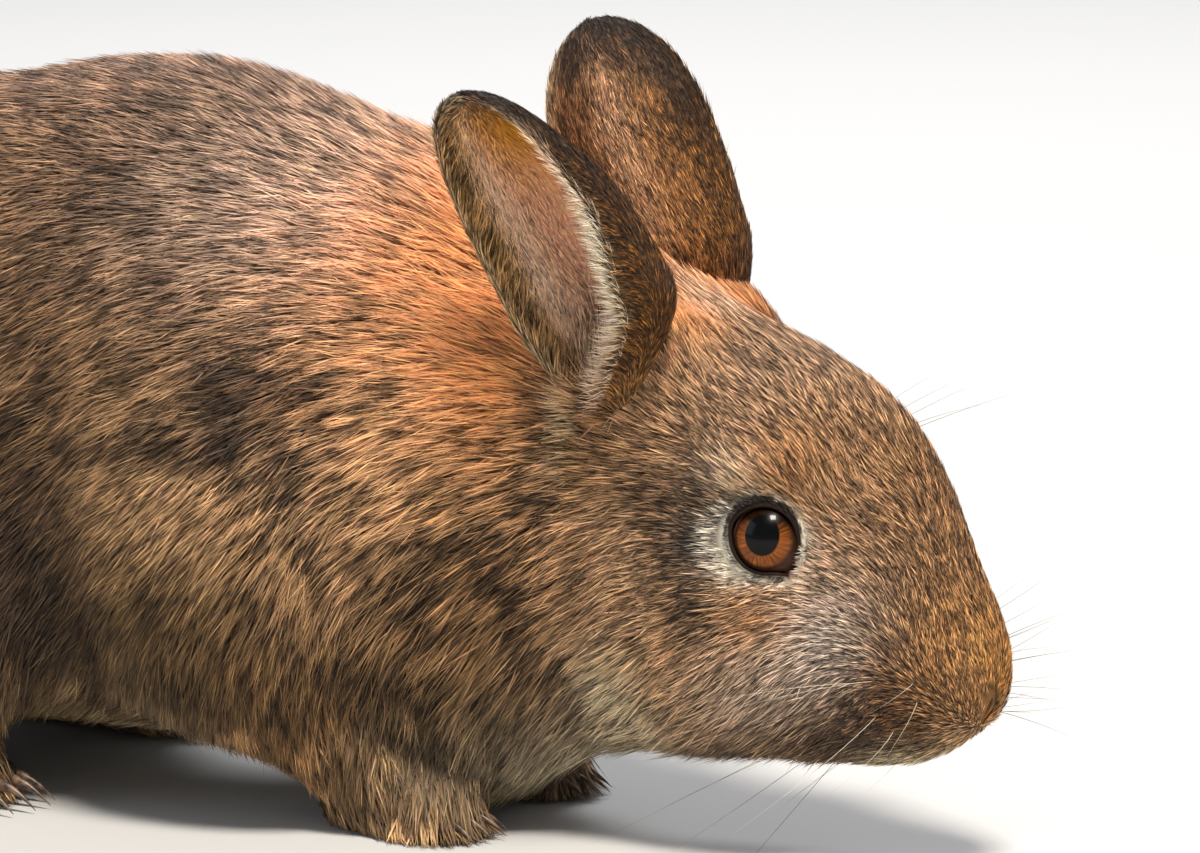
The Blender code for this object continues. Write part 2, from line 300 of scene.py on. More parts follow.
# %% Guides for the coat
LIE = [  # place, way, length, steepness
    ((186, 0, 36), (-0.2, 0.0, 1.0), 1.7, 22),  # tip of the nose
    ((176, 0, 62), (-0.5, 0.0, 0.9), 3.2, 24),  # bridge
    ((160, 0, 92), (-0.75, 0.0, 0.65), 4.2, 26),  # forehead
    ((137, 0, 112), (-0.95, 0.0, 0.3), 5.5, 28),  # crown
    ((121, 0, 118), (-0.7, 0.0, 0.7), 8.0, 40),  # tuft before the ears
    ((98, 0, 124), (-1.0, 0.0, 0.1), 10.0, 26),  # nape
    ((176, -10, 42), (-0.15, -0.2, 1.0), 2.2, 22),  # side of the muzzle
    ((167, -14, 36), (-0.8, 0.0, -0.5), 2.6, 26),  # whisker pad
    ((172, -7, 27), (-0.8, -0.2, -0.4), 2.4, 24),  # upper lip
    ((166, -13, 56), (-0.3, -0.2, 0.95), 3.4, 24),  # side of the snout
    ((158, -17, 64), (-0.75, -0.3, 0.6), 3.4, 24),  # before the eye
    ((155, -19, 55), (-0.9, -0.2, -0.15), 3.8, 24),  # below the eye, in front
    ((142, -25, 57), (-0.95, 0.0, -0.25), 4.4, 24),  # below the eye
    ((142, -25, 45), (-0.8, 0.0, -0.6), 5.5, 26),  # cheek
    ((135, -22, 34), (-0.7, 0.0, -0.7), 8.5, 28),  # lower cheek
    ((150, -13, 24), (-0.85, 0.0, -0.5), 7.0, 30),  # jaw
    ((128, -17, 20), (-0.75, -0.1, -0.65), 11.0, 40),  # fringe below the cheek
    ((108, -27, 38), (-0.6, -0.15, -0.8), 11.0, 36),
    ((168, -3, 23), (-1.0, 0.0, -0.2), 4.0, 26),  # chin
    ((118, -8, 22), (-0.95, 0.0, -0.35), 13.0, 34),  # throat
    ((124, -26, 72), (-1.0, 0.0, 0.0), 5.2, 24),  # behind the eye
    ((116, -28, 56), (-0.9, 0.0, -0.45), 7.5, 28),  # back of the cheek
    ((138, -22, 86), (-0.85, 0.0, 0.5), 4.2, 26),  # brow
    ((150, -15, 90), (-0.55, 0.0, 0.8), 4.0, 26),  # side of the forehead
    ((124, -24, 95), (-0.9, 0.0, 0.4), 5.5, 26),  # temple
    ((117, -20, 112), (-0.5, -0.1, 0.85), 5.5, 24),  # front of the ear's root
    ((100, -32, 84), (-0.95, 0.0, -0.25), 9.0, 28),  # below the ear
    ((84, -36, 78), (-0.8, 0.0, -0.6), 13.0, 32),  # side of the neck
    ((78, -26, 116), (-0.85, -0.1, 0.35), 11.0, 24),  # side of the nape
    ((82, -26, 42), (-0.65, 0.0, -0.75), 14.0, 34),  # lower neck
    ((60, -28, 24), (-0.45, 0.0, -0.9), 17.0, 32),  # breast
    ((62, 0, 9), (-0.95, 0.0, -0.3), 13.0, 24),  # under the breast
    ((36, -44, 74), (-0.65, 0.0, -0.75), 11.0, 30),  # shoulder
    ((18, -50, 48), (-0.35, 0.0, -0.95), 11.0, 28),  # upper arm
    ((0, -48, 92), (-0.85, 0.0, -0.5), 11.0, 26),  # behind the shoulder
    ((44, -38, 112), (-0.9, 0.0, -0.25), 11.0, 26),  # withers, side
    ((40, 0, 152), (-1.0, 0.0, 0.05), 10.0, 24),  # withers
    ((-10, 0, 163), (-1.0, 0.0, -0.05), 10.0, 22),  # back
    ((-80, 0, 153), (-1.0, 0.0, -0.25), 11.0, 22),  # loin
    ((-135, 0, 118), (-0.6, 0.0, -0.8), 12.0, 24),  # rump
    ((-30, -50, 80), (-0.8, 0.0, -0.6), 12.0, 26),  # flank
    ((-25, -42, 34), (-0.75, 0.0, -0.65), 14.0, 28),  # lower flank
    ((-20, 0, 16), (-1.0, 0.0, -0.1), 12.0, 22),  # belly
    ((-90, -56, 92), (-0.65, 0.0, -0.75), 11.0, 25),  # thigh
    ((-84, -60, 50), (-0.35, 0.0, -0.95), 10.0, 24),  # lower thigh
    ((-50, -54, 42), (-0.15, 0.0, -1.0), 11.0, 26),  # knee
    ((-142, -34, 70), (-0.35, 0.0, -0.95), 14.0, 28),  # side of the rump
    ((-168, 0, 74), (-0.55, 0.0, 0.85), 15.0, 50),  # tail
    ((-160, 0, 38), (-0.7, 0.0, -0.6), 11.0, 34),  # root of the tail
    ((34, -32, 22), (0.3, 0.0, -0.95), 6.0, 22),  # forearm
    ((58, -24, 12), (0.95, 0.0, -0.35), 3.4, 20),  # forepaw
    ((-96, -46, 22), (0.9, 0.0, -0.3), 5.5, 22),  # top of the long foot
    ((-44, -46, 10), (1.0, 0.0, -0.3), 3.8, 20),  # hind toes
    ((-132, -43, 10), (-0.7, 0.0, -0.5), 4.5, 22),  # heel
]
LIE_PLACES = np.array([row[0] for row in LIE], float)
LIE_WAYS = unit(np.array([row[1] for row in LIE], float))
LIE_SIZES = np.array([(row[2], math.radians(row[3])) for row in LIE])
FACE_SPREAD, TRUNK_SPREAD = 7.0, 20.0  # width of a guide's Gaussian in millimetres
FACE_FROM, FACE_OVER = 150, 80  # it widens from here backwards, over this length


def coat_at(points):
    """The coat's way, length in metres and steepness at each point.

    Each guide's share falls as a Gaussian of its distance, 7 mm wide on the face and 20 mm on the
    trunk, and the shares are made to add up to one.
    """
    local = own(points)
    backwards = np.clip((FACE_FROM - local[:, :1]) / FACE_OVER, 0, 1)
    spread = FACE_SPREAD + (TRUNK_SPREAD - FACE_SPREAD) * backwards
    apart = ((local[:, None] - LIE_PLACES[None]) ** 2).sum(-1)
    apart -= apart.min(1, keepdims=True)
    share = np.exp(-apart / (2 * spread**2))
    share /= share.sum(1, keepdims=True)
    way = share @ LIE_WAYS
    way[:, 1] *= np.where(points[:, 1] > ORIGIN[1], -1.0, 1.0)
    sizes = share @ LIE_SIZES
    return way, sizes[:, 0] * MM, sizes[:, 1]


print("guides for the coat:", len(LIE))

# %% [markdown]
# ## The skin under the coat
# The solids of flesh reach out to the tips of the hair and are parted by thin cuts. A skin could be
# modelled anew, but the solids already hold the true proportions. They are first swollen a little
# so that they run into each other, and a voxel remesh then gives one closed surface with even
# faces. Smoothing takes the facets away.

# %% One skin from the solids
FLESH = [name for name in frame["nodes"] if not name.startswith(("eye", "ear"))]
CLOSE_CUTS = 0.45 * MM
VOXEL = 1.4 * MM
WELD = 1e-5
AGAINST_FACETS, AGAINST_CREASES = 40, 8  # rounds of smoothing


def smoothed(obj, rounds, share=0.5):
    """Moves each vertex a share of the way to its neighbours' middle, then a little back (Taubin)."""
    mesh = obj.data
    pairs = np.empty(len(mesh.edges) * 2, np.int32)
    mesh.edges.foreach_get("vertices", pairs)
    first, second = pairs.reshape(-1, 2).T
    count = np.bincount(pairs, minlength=len(mesh.vertices))[:, None]
    points = points_of(mesh)
    for step in range(rounds):
        total = np.empty_like(points)
        for axis in range(3):
            total[:, axis] = np.bincount(first, points[second, axis], len(points))
            total[:, axis] += np.bincount(second, points[first, axis], len(points))
        pull = total / np.maximum(count, 1) - points
        points += pull * (share if step % 2 == 0 else -share * 0.94)
    set_points(mesh, points)


copies = []
for name in FLESH:
    copy = merged(object_of("flesh_" + name, frame["nodes"][name].data.copy()), WELD, outwards=False)
    set_points(copy.data, points_of(copy.data) + normals_of(copy.data) * CLOSE_CUTS)
    copies.append(copy)
skin = joined("skin", copies)
modify(skin, "REMESH", mode="VOXEL", voxel_size=VOXEL)
smoothed(skin, AGAINST_FACETS)
points = points_of(skin.data)
print("skin before the coat is taken off:", len(points), "vertices")

# %% [markdown]
# ## Modelling the face and taking the coat's depth off
# Lips, whisker pads, brows, hollows and the folds at arm and thigh could be sculpted by hand. Here
# they are soft Gaussians, which can be read and changed: every vertex moves along its normal by an
# amount that fades with the distance from a named place. Then the coat's depth is taken off along
# the normals, and a second remesh tidies the creases where the two sides meet.

# %% Dents, swellings and the coat's depth
SWELL = [  # place, reach in mm, millimetres outwards
    ((171, -9, 37), (7, 6, 6), 1.0),  # whisker pad
    ((183, -4, 38), (4, 3, 4), 0.6),  # wing of the nostril
    ((186, 0, 29), (4, 1.4, 5), -1.2),  # cleft below the nose
    ((172, -9, 28), (8, 4, 1.6), -1.3),  # line of the mouth
    ((160, -12, 27), (7, 4, 1.8), -1.2),
    ((140, -21, 85), (8, 5, 4), 1.3),  # brow
    ((153, -17, 66), (5, 5, 6), -1.0),  # hollow before the eye
    ((128, -24, 84), (6, 5, 7), -0.8),  # temple
    ((132, -24, 50), (12, 8, 11), 1.0),  # cheek
    ((112, -28, 66), (5, 8, 16), -1.6),  # behind the cheek
    ((18, -48, 60), (22, 12, 28), 3.0),  # upper arm
    ((96, -36, 98), (10, 9, 13), -3.0),  # round the ear's root
    ((125, -26, 75), (2.4, 8, 8), -1.3),  # folds behind the eye
    ((119, -28, 60), (2.6, 8, 8), -1.3),
    ((122, -27, 68), (2.6, 8, 6), 0.9),
    ((-14, -50, 52), (7, 12, 26), -4.0),  # fold behind the upper arm
    ((46, -44, 62), (7, 12, 28), -1.5),  # fold before the upper arm
    ((-32, -54, 46), (7, 12, 26), -3.0),  # fold before the thigh
]
LEAST_DEPTH = 0.3 * MM
DEPTH_ON_FLOOR = 0.25  # share of the depth taken off where the feet stand


def moulded(points, normals):
    """Moves points along their normals by the sum of the Gaussians in SWELL."""
    local = own(points)
    amount = np.zeros(len(points))
    for place, reach, height in SWELL:
        amount += height * np.exp(-0.5 * (((local - place) / np.array(reach)) ** 2).sum(1))
    return points + normals * amount[:, None] * MM


_, hair_length, steepness = coat_at(points)
depth = 0.5 * hair_length * np.tan(steepness) + LEAST_DEPTH + CLOSE_CUTS
off_floor = np.clip((points[:, 2] - 2 * MM) / (6 * MM), DEPTH_ON_FLOOR, 1)
normals = normals_of(skin.data)
set_points(skin.data, moulded(points, normals) - normals * (depth * off_floor)[:, None])
modify(skin, "REMESH", mode="VOXEL", voxel_size=VOXEL)
smoothed(skin, AGAINST_CREASES)
shallow, deep = (np.array([depth.min(), depth.max()]) / MM).round(1)
print("skin:", len(skin.data.polygons), "faces, coat depth", shallow, "to", deep, "mm")

# %% [markdown]
# ## Ears
# A rabbit's ear is a thin gristly cup. It could be cut from a block, but a thin sheet with a wall
# is nearer to the real one. It is a grid of two parameters, from root to tip and from the rear edge
# to the front edge, whose rows curl most towards the front edge and low down on the ear.

# %% The ear's grid
EAR_LENGTH, EAR_WIDTH = 78 * MM, 56 * MM
EAR_ROOT, EAR_WIDEST = 0.46, 0.32  # width at the root, and how far up it is widest, as shares
EAR_BASE = {"right": (102.5, -28.0, 94.5), "left": (103.5, 24.5, 98.0)}
EAR_LEAN = {"right": 11.0, "left": 22.0}  # degrees backwards
EAR_SPLAY = {"right": 22.5, "left": 1.0}  # degrees outwards
EAR_BOW = {"right": 0.105, "left": 0.0}  # how far the middle lies to the front, in ear widths
EAR_OPENING = 11.0  # degrees that the opening is turned backwards
EAR_CURL = ((0.0, 0.5, 1.0), (248.0, 169.0, 100.0))  # degrees round, by the share of the way up
EAR_WALL = 1.3 * MM
EAR_SUNK = -0.22  # the share of its length that the shell goes on below the root, inside the head
EAR_WAVE = 0.5 * MM


def turned(vector, axis, angle):
    """A vector turned about a unit axis: v cos a + (axis x v) sin a + axis (axis . v)(1 - cos a)."""
    return (
        vector * math.cos(angle)
        + np.cross(axis, vector) * math.sin(angle)
        + axis * (axis @ vector) * (1 - math.cos(angle))
    )


def ear_axes(side_name):
    """Unit vectors up the ear, out of its opening, and across it towards the front edge."""
    side = SIDES[side_name]
    lean, splay = math.radians(EAR_LEAN[side_name]), math.radians(EAR_SPLAY[side_name])
    back, out, high = math.sin(lean) * math.cos(splay), math.sin(splay), math.cos(lean) * math.cos(splay)
    up = np.array([-back, side * out, high])
    outward = unit(np.array([0, side, 0]) - up * (side * up[1]))
    opening = turned(outward, up, side * math.radians(EAR_OPENING))
    return up, opening, np.cross(up, opening) * -side


def ear_grid(rows, columns, side_name):
    """Places of the ear's middle surface for all rows, 0 at the root and 1 at the tip, and columns.

    Along a row the heading grows as the power 2.1 of the way across, so the front edge curls over.
    The width grows to its widest low down and then falls as a quarter of an ellipse.
    """
    up, opening, across = ear_axes(side_name)
    rise = np.clip(rows / EAR_WIDEST, 0, 1)
    fall = np.clip(rows - EAR_WIDEST, 0, 1) / (1.003 - EAR_WIDEST)
    width = EAR_WIDTH * (EAR_ROOT + (1 - EAR_ROOT) * rise**2 * (3 - 2 * rise)) * np.sqrt(1 - fall**2)
    width = width * (1 + 1.6 * np.minimum(rows, 0))
    curl = np.radians(np.interp(rows, *EAR_CURL))
    heading = curl[:, None] * columns[None, :] ** 2.1
    step = np.diff(columns, prepend=0.0)
    along = np.cumsum(np.cos(heading) * step, axis=1)
    inwards = np.cumsum(np.sin(heading) * step, axis=1)
    tilt = np.arctan2(inwards[:, -1:], along[:, -1:])
    sideways = (along * np.cos(tilt) + inwards * np.sin(tilt)) * width[:, None]
    depths = (inwards * np.cos(tilt) - along * np.sin(tilt)) * width[:, None]
    sideways -= sideways[:, -1:] / 2
    sideways += EAR_BOW[side_name] * EAR_WIDTH * np.sin(math.pi * np.clip(rows, 0, 1) ** 0.85)[:, None]
    wave = EAR_WAVE * np.sin(rows * 17)[:, None] * columns[None, :] ** 3
    return (
        at(*EAR_BASE[side_name])
        + (rows * EAR_LENGTH)[:, None, None] * up
        + sideways[..., None] * across
        + (depths + wave)[..., None] * opening
    )


EAR_ROWS = EAR_SUNK + (1 - EAR_SUNK) * np.sin(np.linspace(0, math.pi / 2, 70))
EAR_COLUMNS = np.linspace(0, 1, 44)
print("ear:", len(EAR_ROWS), "rows of", len(EAR_COLUMNS), "places")

# %% [markdown]
# ## Ears made one with the skin
# The cup goes down into the head, so its inside is first hollowed out of the skin. Solidify gives
# the shell its wall, on both sides of the grid. The shells could stay pieces of their own, but a
# seam would show, so a Boolean union makes both one with the skin.

# %% Hollow, wall and join
HOLLOW_ROWS = np.linspace(-0.03, 0.5, 24)
HOLLOW_OUT = 16 * MM  # how far the cutter reaches out of the opening
BOTH_ENDS = ("first", "last")
MERGE = 1e-7


def hollow_of(side_name):
    """The inside of the cup as a closed solid, narrower at its foot, which also reaches out of it."""
    opening = ear_axes(side_name)[1]
    wall = ear_grid(HOLLOW_ROWS, EAR_COLUMNS, side_name)
    narrow = (0.35 + 0.65 * np.clip((HOLLOW_ROWS + 0.03) / 0.2, 0, 1))[:, None, None]
    middle = wall.mean(axis=1, keepdims=True)
    wall = middle + (wall - middle) * narrow
    out = np.array([0.35, 1.0])[None, :, None] * HOLLOW_OUT * opening
    front = wall[:, -1:] + out
    rear = wall[:, :1] + out[:, ::-1]
    return merged(surface("hollow", np.concatenate([wall, front, rear], axis=1), caps=BOTH_ENDS), MERGE)


for side_name in SIDES:
    combined(skin, "DIFFERENCE", hollow_of(side_name))
    ear = surface("ear_" + side_name, ear_grid(EAR_ROWS, EAR_COLUMNS, side_name), closed=False)
    modify(ear, "SOLIDIFY", thickness=EAR_WALL, offset=0.0)
    combined(skin, "UNION", merged(ear, MERGE))
print("skin with ears:", len(skin.data.polygons), "faces")

# %% [markdown]
# ## The eye's own axes
# A rabbit's eyes look sideways, a little forwards and up. Angles round that gaze, and distances
# from it, are the simplest way to say where the lids, the pale ring and the lashes are.

# %% Gaze and the opening of the lids
EYE_GAZE = unit(np.array([0.20, 1.0, 0.06]))  # for the left eye; the right one mirrors it
LID_REACH, FLATTER_ABOVE = 7.0, 0.35  # half the opening in mm, and how much less it is above
TEAR_POINT, TEAR_ANGLE = 2.9, 0.80  # the tear corner: how far out in mm, and radians below the front
REAR_POINT, REAR_ANGLE = 0.5, 2.75


def eye_frame(side_name):
    """The eye's middle, its gaze, and unit vectors towards the nose and upwards across the gaze."""
    side = SIDES[side_name]
    gaze = EYE_GAZE * (1, side, 1)
    forward = unit(np.array([1.0, 0, 0]) - gaze * gaze[0])
    upward = np.cross(gaze, forward) * -side
    return at(*(EYE_PLACE * (1, side, 1))), gaze, forward, upward


def turn_between(angle, other):
    """The difference of two angles, from -pi to pi."""
    return np.angle(np.exp(1j * (angle - other)))


def opening_reach(angle):
    """How far the lids' edge is from the gaze, in metres, for angles from the nose side upwards.

    A circle of 7 mm, a little flatter above, with a point of 2.9 mm more at the tear corner, 46
    degrees below the nose side, and a soft one of 0.5 mm at the rear.
    """
    corner = np.exp(-((turn_between(angle, -TEAR_ANGLE) / 0.30) ** 2))
    behind = np.exp(-((turn_between(angle, REAR_ANGLE) / 0.45) ** 2))
    flatter = FLATTER_ABOVE * np.clip(np.sin(angle), 0, 1)
    return (LID_REACH - flatter + TEAR_POINT * corner + REAR_POINT * behind) * MM


def beside(points, side_name):
    """Each point's angle round the gaze, its distance from the gaze line, and its height along it."""
    centre, gaze, forward, upward = eye_frame(side_name)
    ray = points - centre
    ahead, above = ray @ forward, ray @ upward
    return np.arctan2(above, ahead), np.hypot(ahead, above), ray @ gaze


def across_gaze(angle, side_name):
    """Unit vectors across the gaze at those angles: cos a forward + sin a upward."""
    _, _, forward, upward = eye_frame(side_name)
    return np.cos(angle)[..., None] * forward + np.sin(angle)[..., None] * upward


def round_the_eye(points, side_name):
    """Angle round the gaze, millimetres outside the lids' edge, and which points face out there."""
    angle, reach, height = beside(points, side_name)
    in_front = (height > 0) & ((points[:, 1] - ORIGIN[1]) * SIDES[side_name] > 0)
    return angle, (reach - opening_reach(angle)) / MM, in_front


print("lids' opening:", round(2 * LID_REACH, 1), "mm wide, with a point of", TEAR_POINT, "mm")

# %% [markdown]
# ## Lids
# The lids are drawn over the eyeball like the rim of a purse. They could be pinched out of the
# skin's own faces, but those are too coarse for a clean edge. So a closed ring with a rounded rim,
# whose outline is a drop with its point at the tear corner, is made one with the skin, which is
# first sunk behind the ball.

# %% Lids as a ring
LID_RIM = np.array([  # mm outside the opening, and mm above the ball
    (1.9, -0.9), (0.9, -0.25), (0.25, -0.02), (0.0, 0.28),
    (0.12, 0.62), (0.4, 0.86), (0.75, 0.98), (1.1, 1.05),
])
LID_EDGE, LID_THICK = LID_RIM[-1] * MM
LID_OUTER = 13.2 * MM
LID_ROUND, LID_OVER = 96, 10  # places round, and rows that run out over the ball
BLEND = 1.2 * MM
GATHERED = 1.3 * MM  # width of the Gaussian that reads the height of the skin round about


def skin_height(spot, points, side_name):
    """Height along the gaze of the skin at those spots: the mean of its vertices by a Gaussian."""
    centre, gaze = eye_frame(side_name)[:2]
    near = points[np.linalg.norm(points - centre, axis=1) < 24 * MM]
    near_height = beside(near, side_name)[2]
    near, near_height = near[near_height > 0], near_height[near_height > 0]
    flat = near - near_height[:, None] * gaze
    apart = np.linalg.norm(spot.reshape(-1, 1, 3) - flat[None], axis=2)
    weight = np.exp(-0.5 * (apart / GATHERED) ** 2) + 1e-12
    return ((weight * near_height).sum(1) / weight.sum(1)).reshape(spot.shape[:2])


def lid_ring(side_name, points):
    """Lids as a closed ring round the opening, 96 places round and 22 along its section.

    The section starts inside the ball, rounds the rim at the opening's outline, and runs out over
    the ball. There it turns into the skin round about, by a smooth maximum of the two heights. Then
    it goes back underneath.
    """
    centre, gaze = eye_frame(side_name)[:2]
    angle = np.linspace(0, 2 * math.pi, LID_ROUND, endpoint=False)[None, :]
    edge = opening_reach(angle)
    over = np.linspace(0, 1, LID_OVER + 1)[1:, None]
    outwards = (edge + LID_EDGE) * (1 - over) + LID_OUTER * over
    reach = np.concatenate([edge + LID_RIM[:, :1] * MM, outwards])
    ball = EYE_RADIUS + np.concatenate([LID_RIM[:, 1:] * MM, np.full((LID_OVER, 1), LID_THICK)])
    dome = np.sqrt(np.maximum(ball**2 - np.minimum(reach, ball) ** 2, 0))
    spot = centre + reach[..., None] * across_gaze(angle, side_name)
    around = skin_height(spot, points, side_name)
    blend = BLEND * np.log(np.exp(dome / BLEND) + np.exp(around / BLEND))
    share = np.clip((reach - edge - LID_EDGE) / (2.5 * MM), 0, 1)
    height = dome * (1 - share) + blend * share
    height[-1] = around[-1] - 0.5 * MM
    top = spot + height[..., None] * gaze
    below = np.array([[2.2], [3.0], [2.4]]) * MM
    under = spot[[-1, -5, -9]] + (height[[-1, -5, -9]] - below)[..., None] * gaze
    return merged(surface("lids_" + side_name, np.concatenate([top, under, top[:1]])), MERGE)


def sunk_behind(points, side_name):
    """How the skin's vertices move to lie behind the ball, by a smooth step of their reach."""
    centre = eye_frame(side_name)[0]
    _, reach, height = beside(points, side_name)
    drop = np.clip((11.0 * MM - reach) / (3.0 * MM), 0, 1) * (height > 0)
    ray = points - centre
    length = np.linalg.norm(ray, axis=1, keepdims=True)
    sunk = centre + ray / length * np.minimum(length, EYE_RADIUS - 1.6 * MM)
    return (sunk - points) * (drop * drop * (3 - 2 * drop))[:, None]


whole = points_of(skin.data)
points = whole.copy()
for side_name in SIDES:
    points += sunk_behind(points, side_name)
set_points(skin.data, points)
print("vertices sunk behind the eyeballs:", int((np.abs(points - whole).sum(1) > 1e-6).sum()))

# %% [markdown]
# ## Nostrils
# A rabbit's nostrils are slanted slits. A dark mark alone would look flat from the front, so they
# are cut into the skin with flat ellipsoids, in the same round of Booleans that adds the lids.

# %% Nostrils and joins
NOSTRIL, NOSTRIL_REACH, NOSTRIL_TURN = (184.3, 3.7, 35.5), (2.8, 0.8, 3.0), 0.5


def nostril_at(side):
    """The middle of a nostril, in metres."""
    return at(NOSTRIL[0], NOSTRIL[1] * side, NOSTRIL[2])


def slit_cutter(place, reach, turn):
    """A flat ellipsoid, (cos up cos round, cos up sin round, sin up) times its reach, turned about Y."""
    across, up = np.linspace(0, 2 * math.pi, 24, endpoint=False), np.linspace(-1.5, 1.5, 13)
    ring = np.stack([np.cos(across) * reach[0], np.sin(across) * reach[1]], -1) * MM
    flat = np.cos(up)[:, None, None] * ring[None]
    height = np.sin(up)[:, None, None] * reach[2] * MM * np.ones((1, 24, 1))
    x, y, z = np.moveaxis(np.concatenate([flat, height], -1), -1, 0)
    c, s = math.cos(turn), math.sin(turn)
    return surface("cutter", np.stack([x * c + z * s, y, z * c - x * s], -1) + place, caps=BOTH_ENDS)


for side_name, side in SIDES.items():
    combined(skin, "UNION", lid_ring(side_name, whole))
    combined(skin, "DIFFERENCE", slit_cutter(nostril_at(side), NOSTRIL_REACH, NOSTRIL_TURN))
skin.data.shade_smooth()
print("skin with its openings:", len(skin.data.polygons), "faces")

# %% [markdown]
# ## What each spot of the skin knows
# Colour, the coat's lie and its length change smoothly over the body, so they are worked out once
# for each vertex of the skin, and the tufts then read them from the spot where they stand. Places
# on the body say enough, but the two faces of an ear lie too close together. So a vertex is on an
# ear if it is within 1.7 mm of the ear's own grid, and the nearest place of the grid also says how
# far up and across the ear it is, and on which face.

# %% Which vertices are on the ears
NEAR_EAR = 1.7 * MM
points = points_of(skin.data)
normals = normals_of(skin.data)
COUNT = len(points)
on_ear, ear_up, ear_across, ear_inner = np.zeros((4, COUNT))
ear_way = np.zeros((COUNT, 3))
for side_name, side in SIDES.items():
    grid = ear_grid(EAR_ROWS, EAR_COLUMNS, side_name)
    climb = unit(np.gradient(grid, axis=0))
    sweep = unit(np.gradient(grid, axis=1))
    hollow = np.cross(climb, sweep) * side
    near = np.nonzero((points[:, 2] > 95 * MM) & ((points[:, 1] - ORIGIN[1]) * side > 2 * MM))[0]
    flat = grid.reshape(-1, 3)
    fringe_top = 0.86 if side < 0 else 0.62
    for chunk in np.array_split(near, 16):
        apart = ((points[chunk, None] - flat[None]) ** 2).sum(2)
        nearest = apart.argmin(1)
        gap = np.sqrt(apart[np.arange(len(chunk)), nearest])
        row, column = np.divmod(nearest, len(EAR_COLUMNS))
        found = gap < NEAR_EAR
        hit = chunk[found]
        row, column = row[found], column[found]
        on_ear[hit] = np.clip((EAR_ROWS[row] + 0.02) / 0.06, 0, 1)
        ear_up[hit] = EAR_ROWS[row]
        ear_across[hit] = EAR_COLUMNS[column]
        ear_inner[hit] = np.sign(((points[hit] - grid[row, column]) * hollow[row, column]).sum(1))
        low_enough = np.clip((fringe_top - EAR_ROWS[row]) / 0.25, 0, 1)
        over_front = 1.5 * np.clip((EAR_COLUMNS[column] - 0.86) / 0.12, 0, 1) * low_enough
        off_rear = 0.8 * np.clip((0.16 - EAR_COLUMNS[column]) / 0.16, 0, 1) * (ear_inner[hit] > 0)
        ear_way[hit] = climb[row, column] + (over_front + off_rear)[:, None] * sweep[row, column]
is_ear = on_ear > 0.5
print("vertices on the ears:", int(is_ear.sum()), "inner:", int((is_ear & (ear_inner > 0)).sum()))

# %% [markdown]
# ## Markings
# The coat is agouti: warm brown hairs with black tips over a paler, lilac-grey back, an orange
# nape, cream below the jaw and a pale ring round the eye. It could be painted by hand on a map. Here
# each mark is a soft Gaussian patch laid over those before it, given as a place, its reach, its
# colour and how much of the hair there has a dark tip, so that skin and tufts share one formula.
# The back's lilac-grey is partly a painted reflection of the sky, a patch of the nape by the ear is
# brighter partly by painted light, and jaw, chest, flank, upper arm, creases, nostrils and the
# mouth's corner are darker partly by painted shade.


# %% Colours of the coat
def linear(colour):
    """Linear light from display values of 0 to 255."""
    value = np.asarray(colour, float) / 255
    return np.where(value <= 0.04045, value / 12.92, ((value + 0.055) / 1.055) ** 2.4)


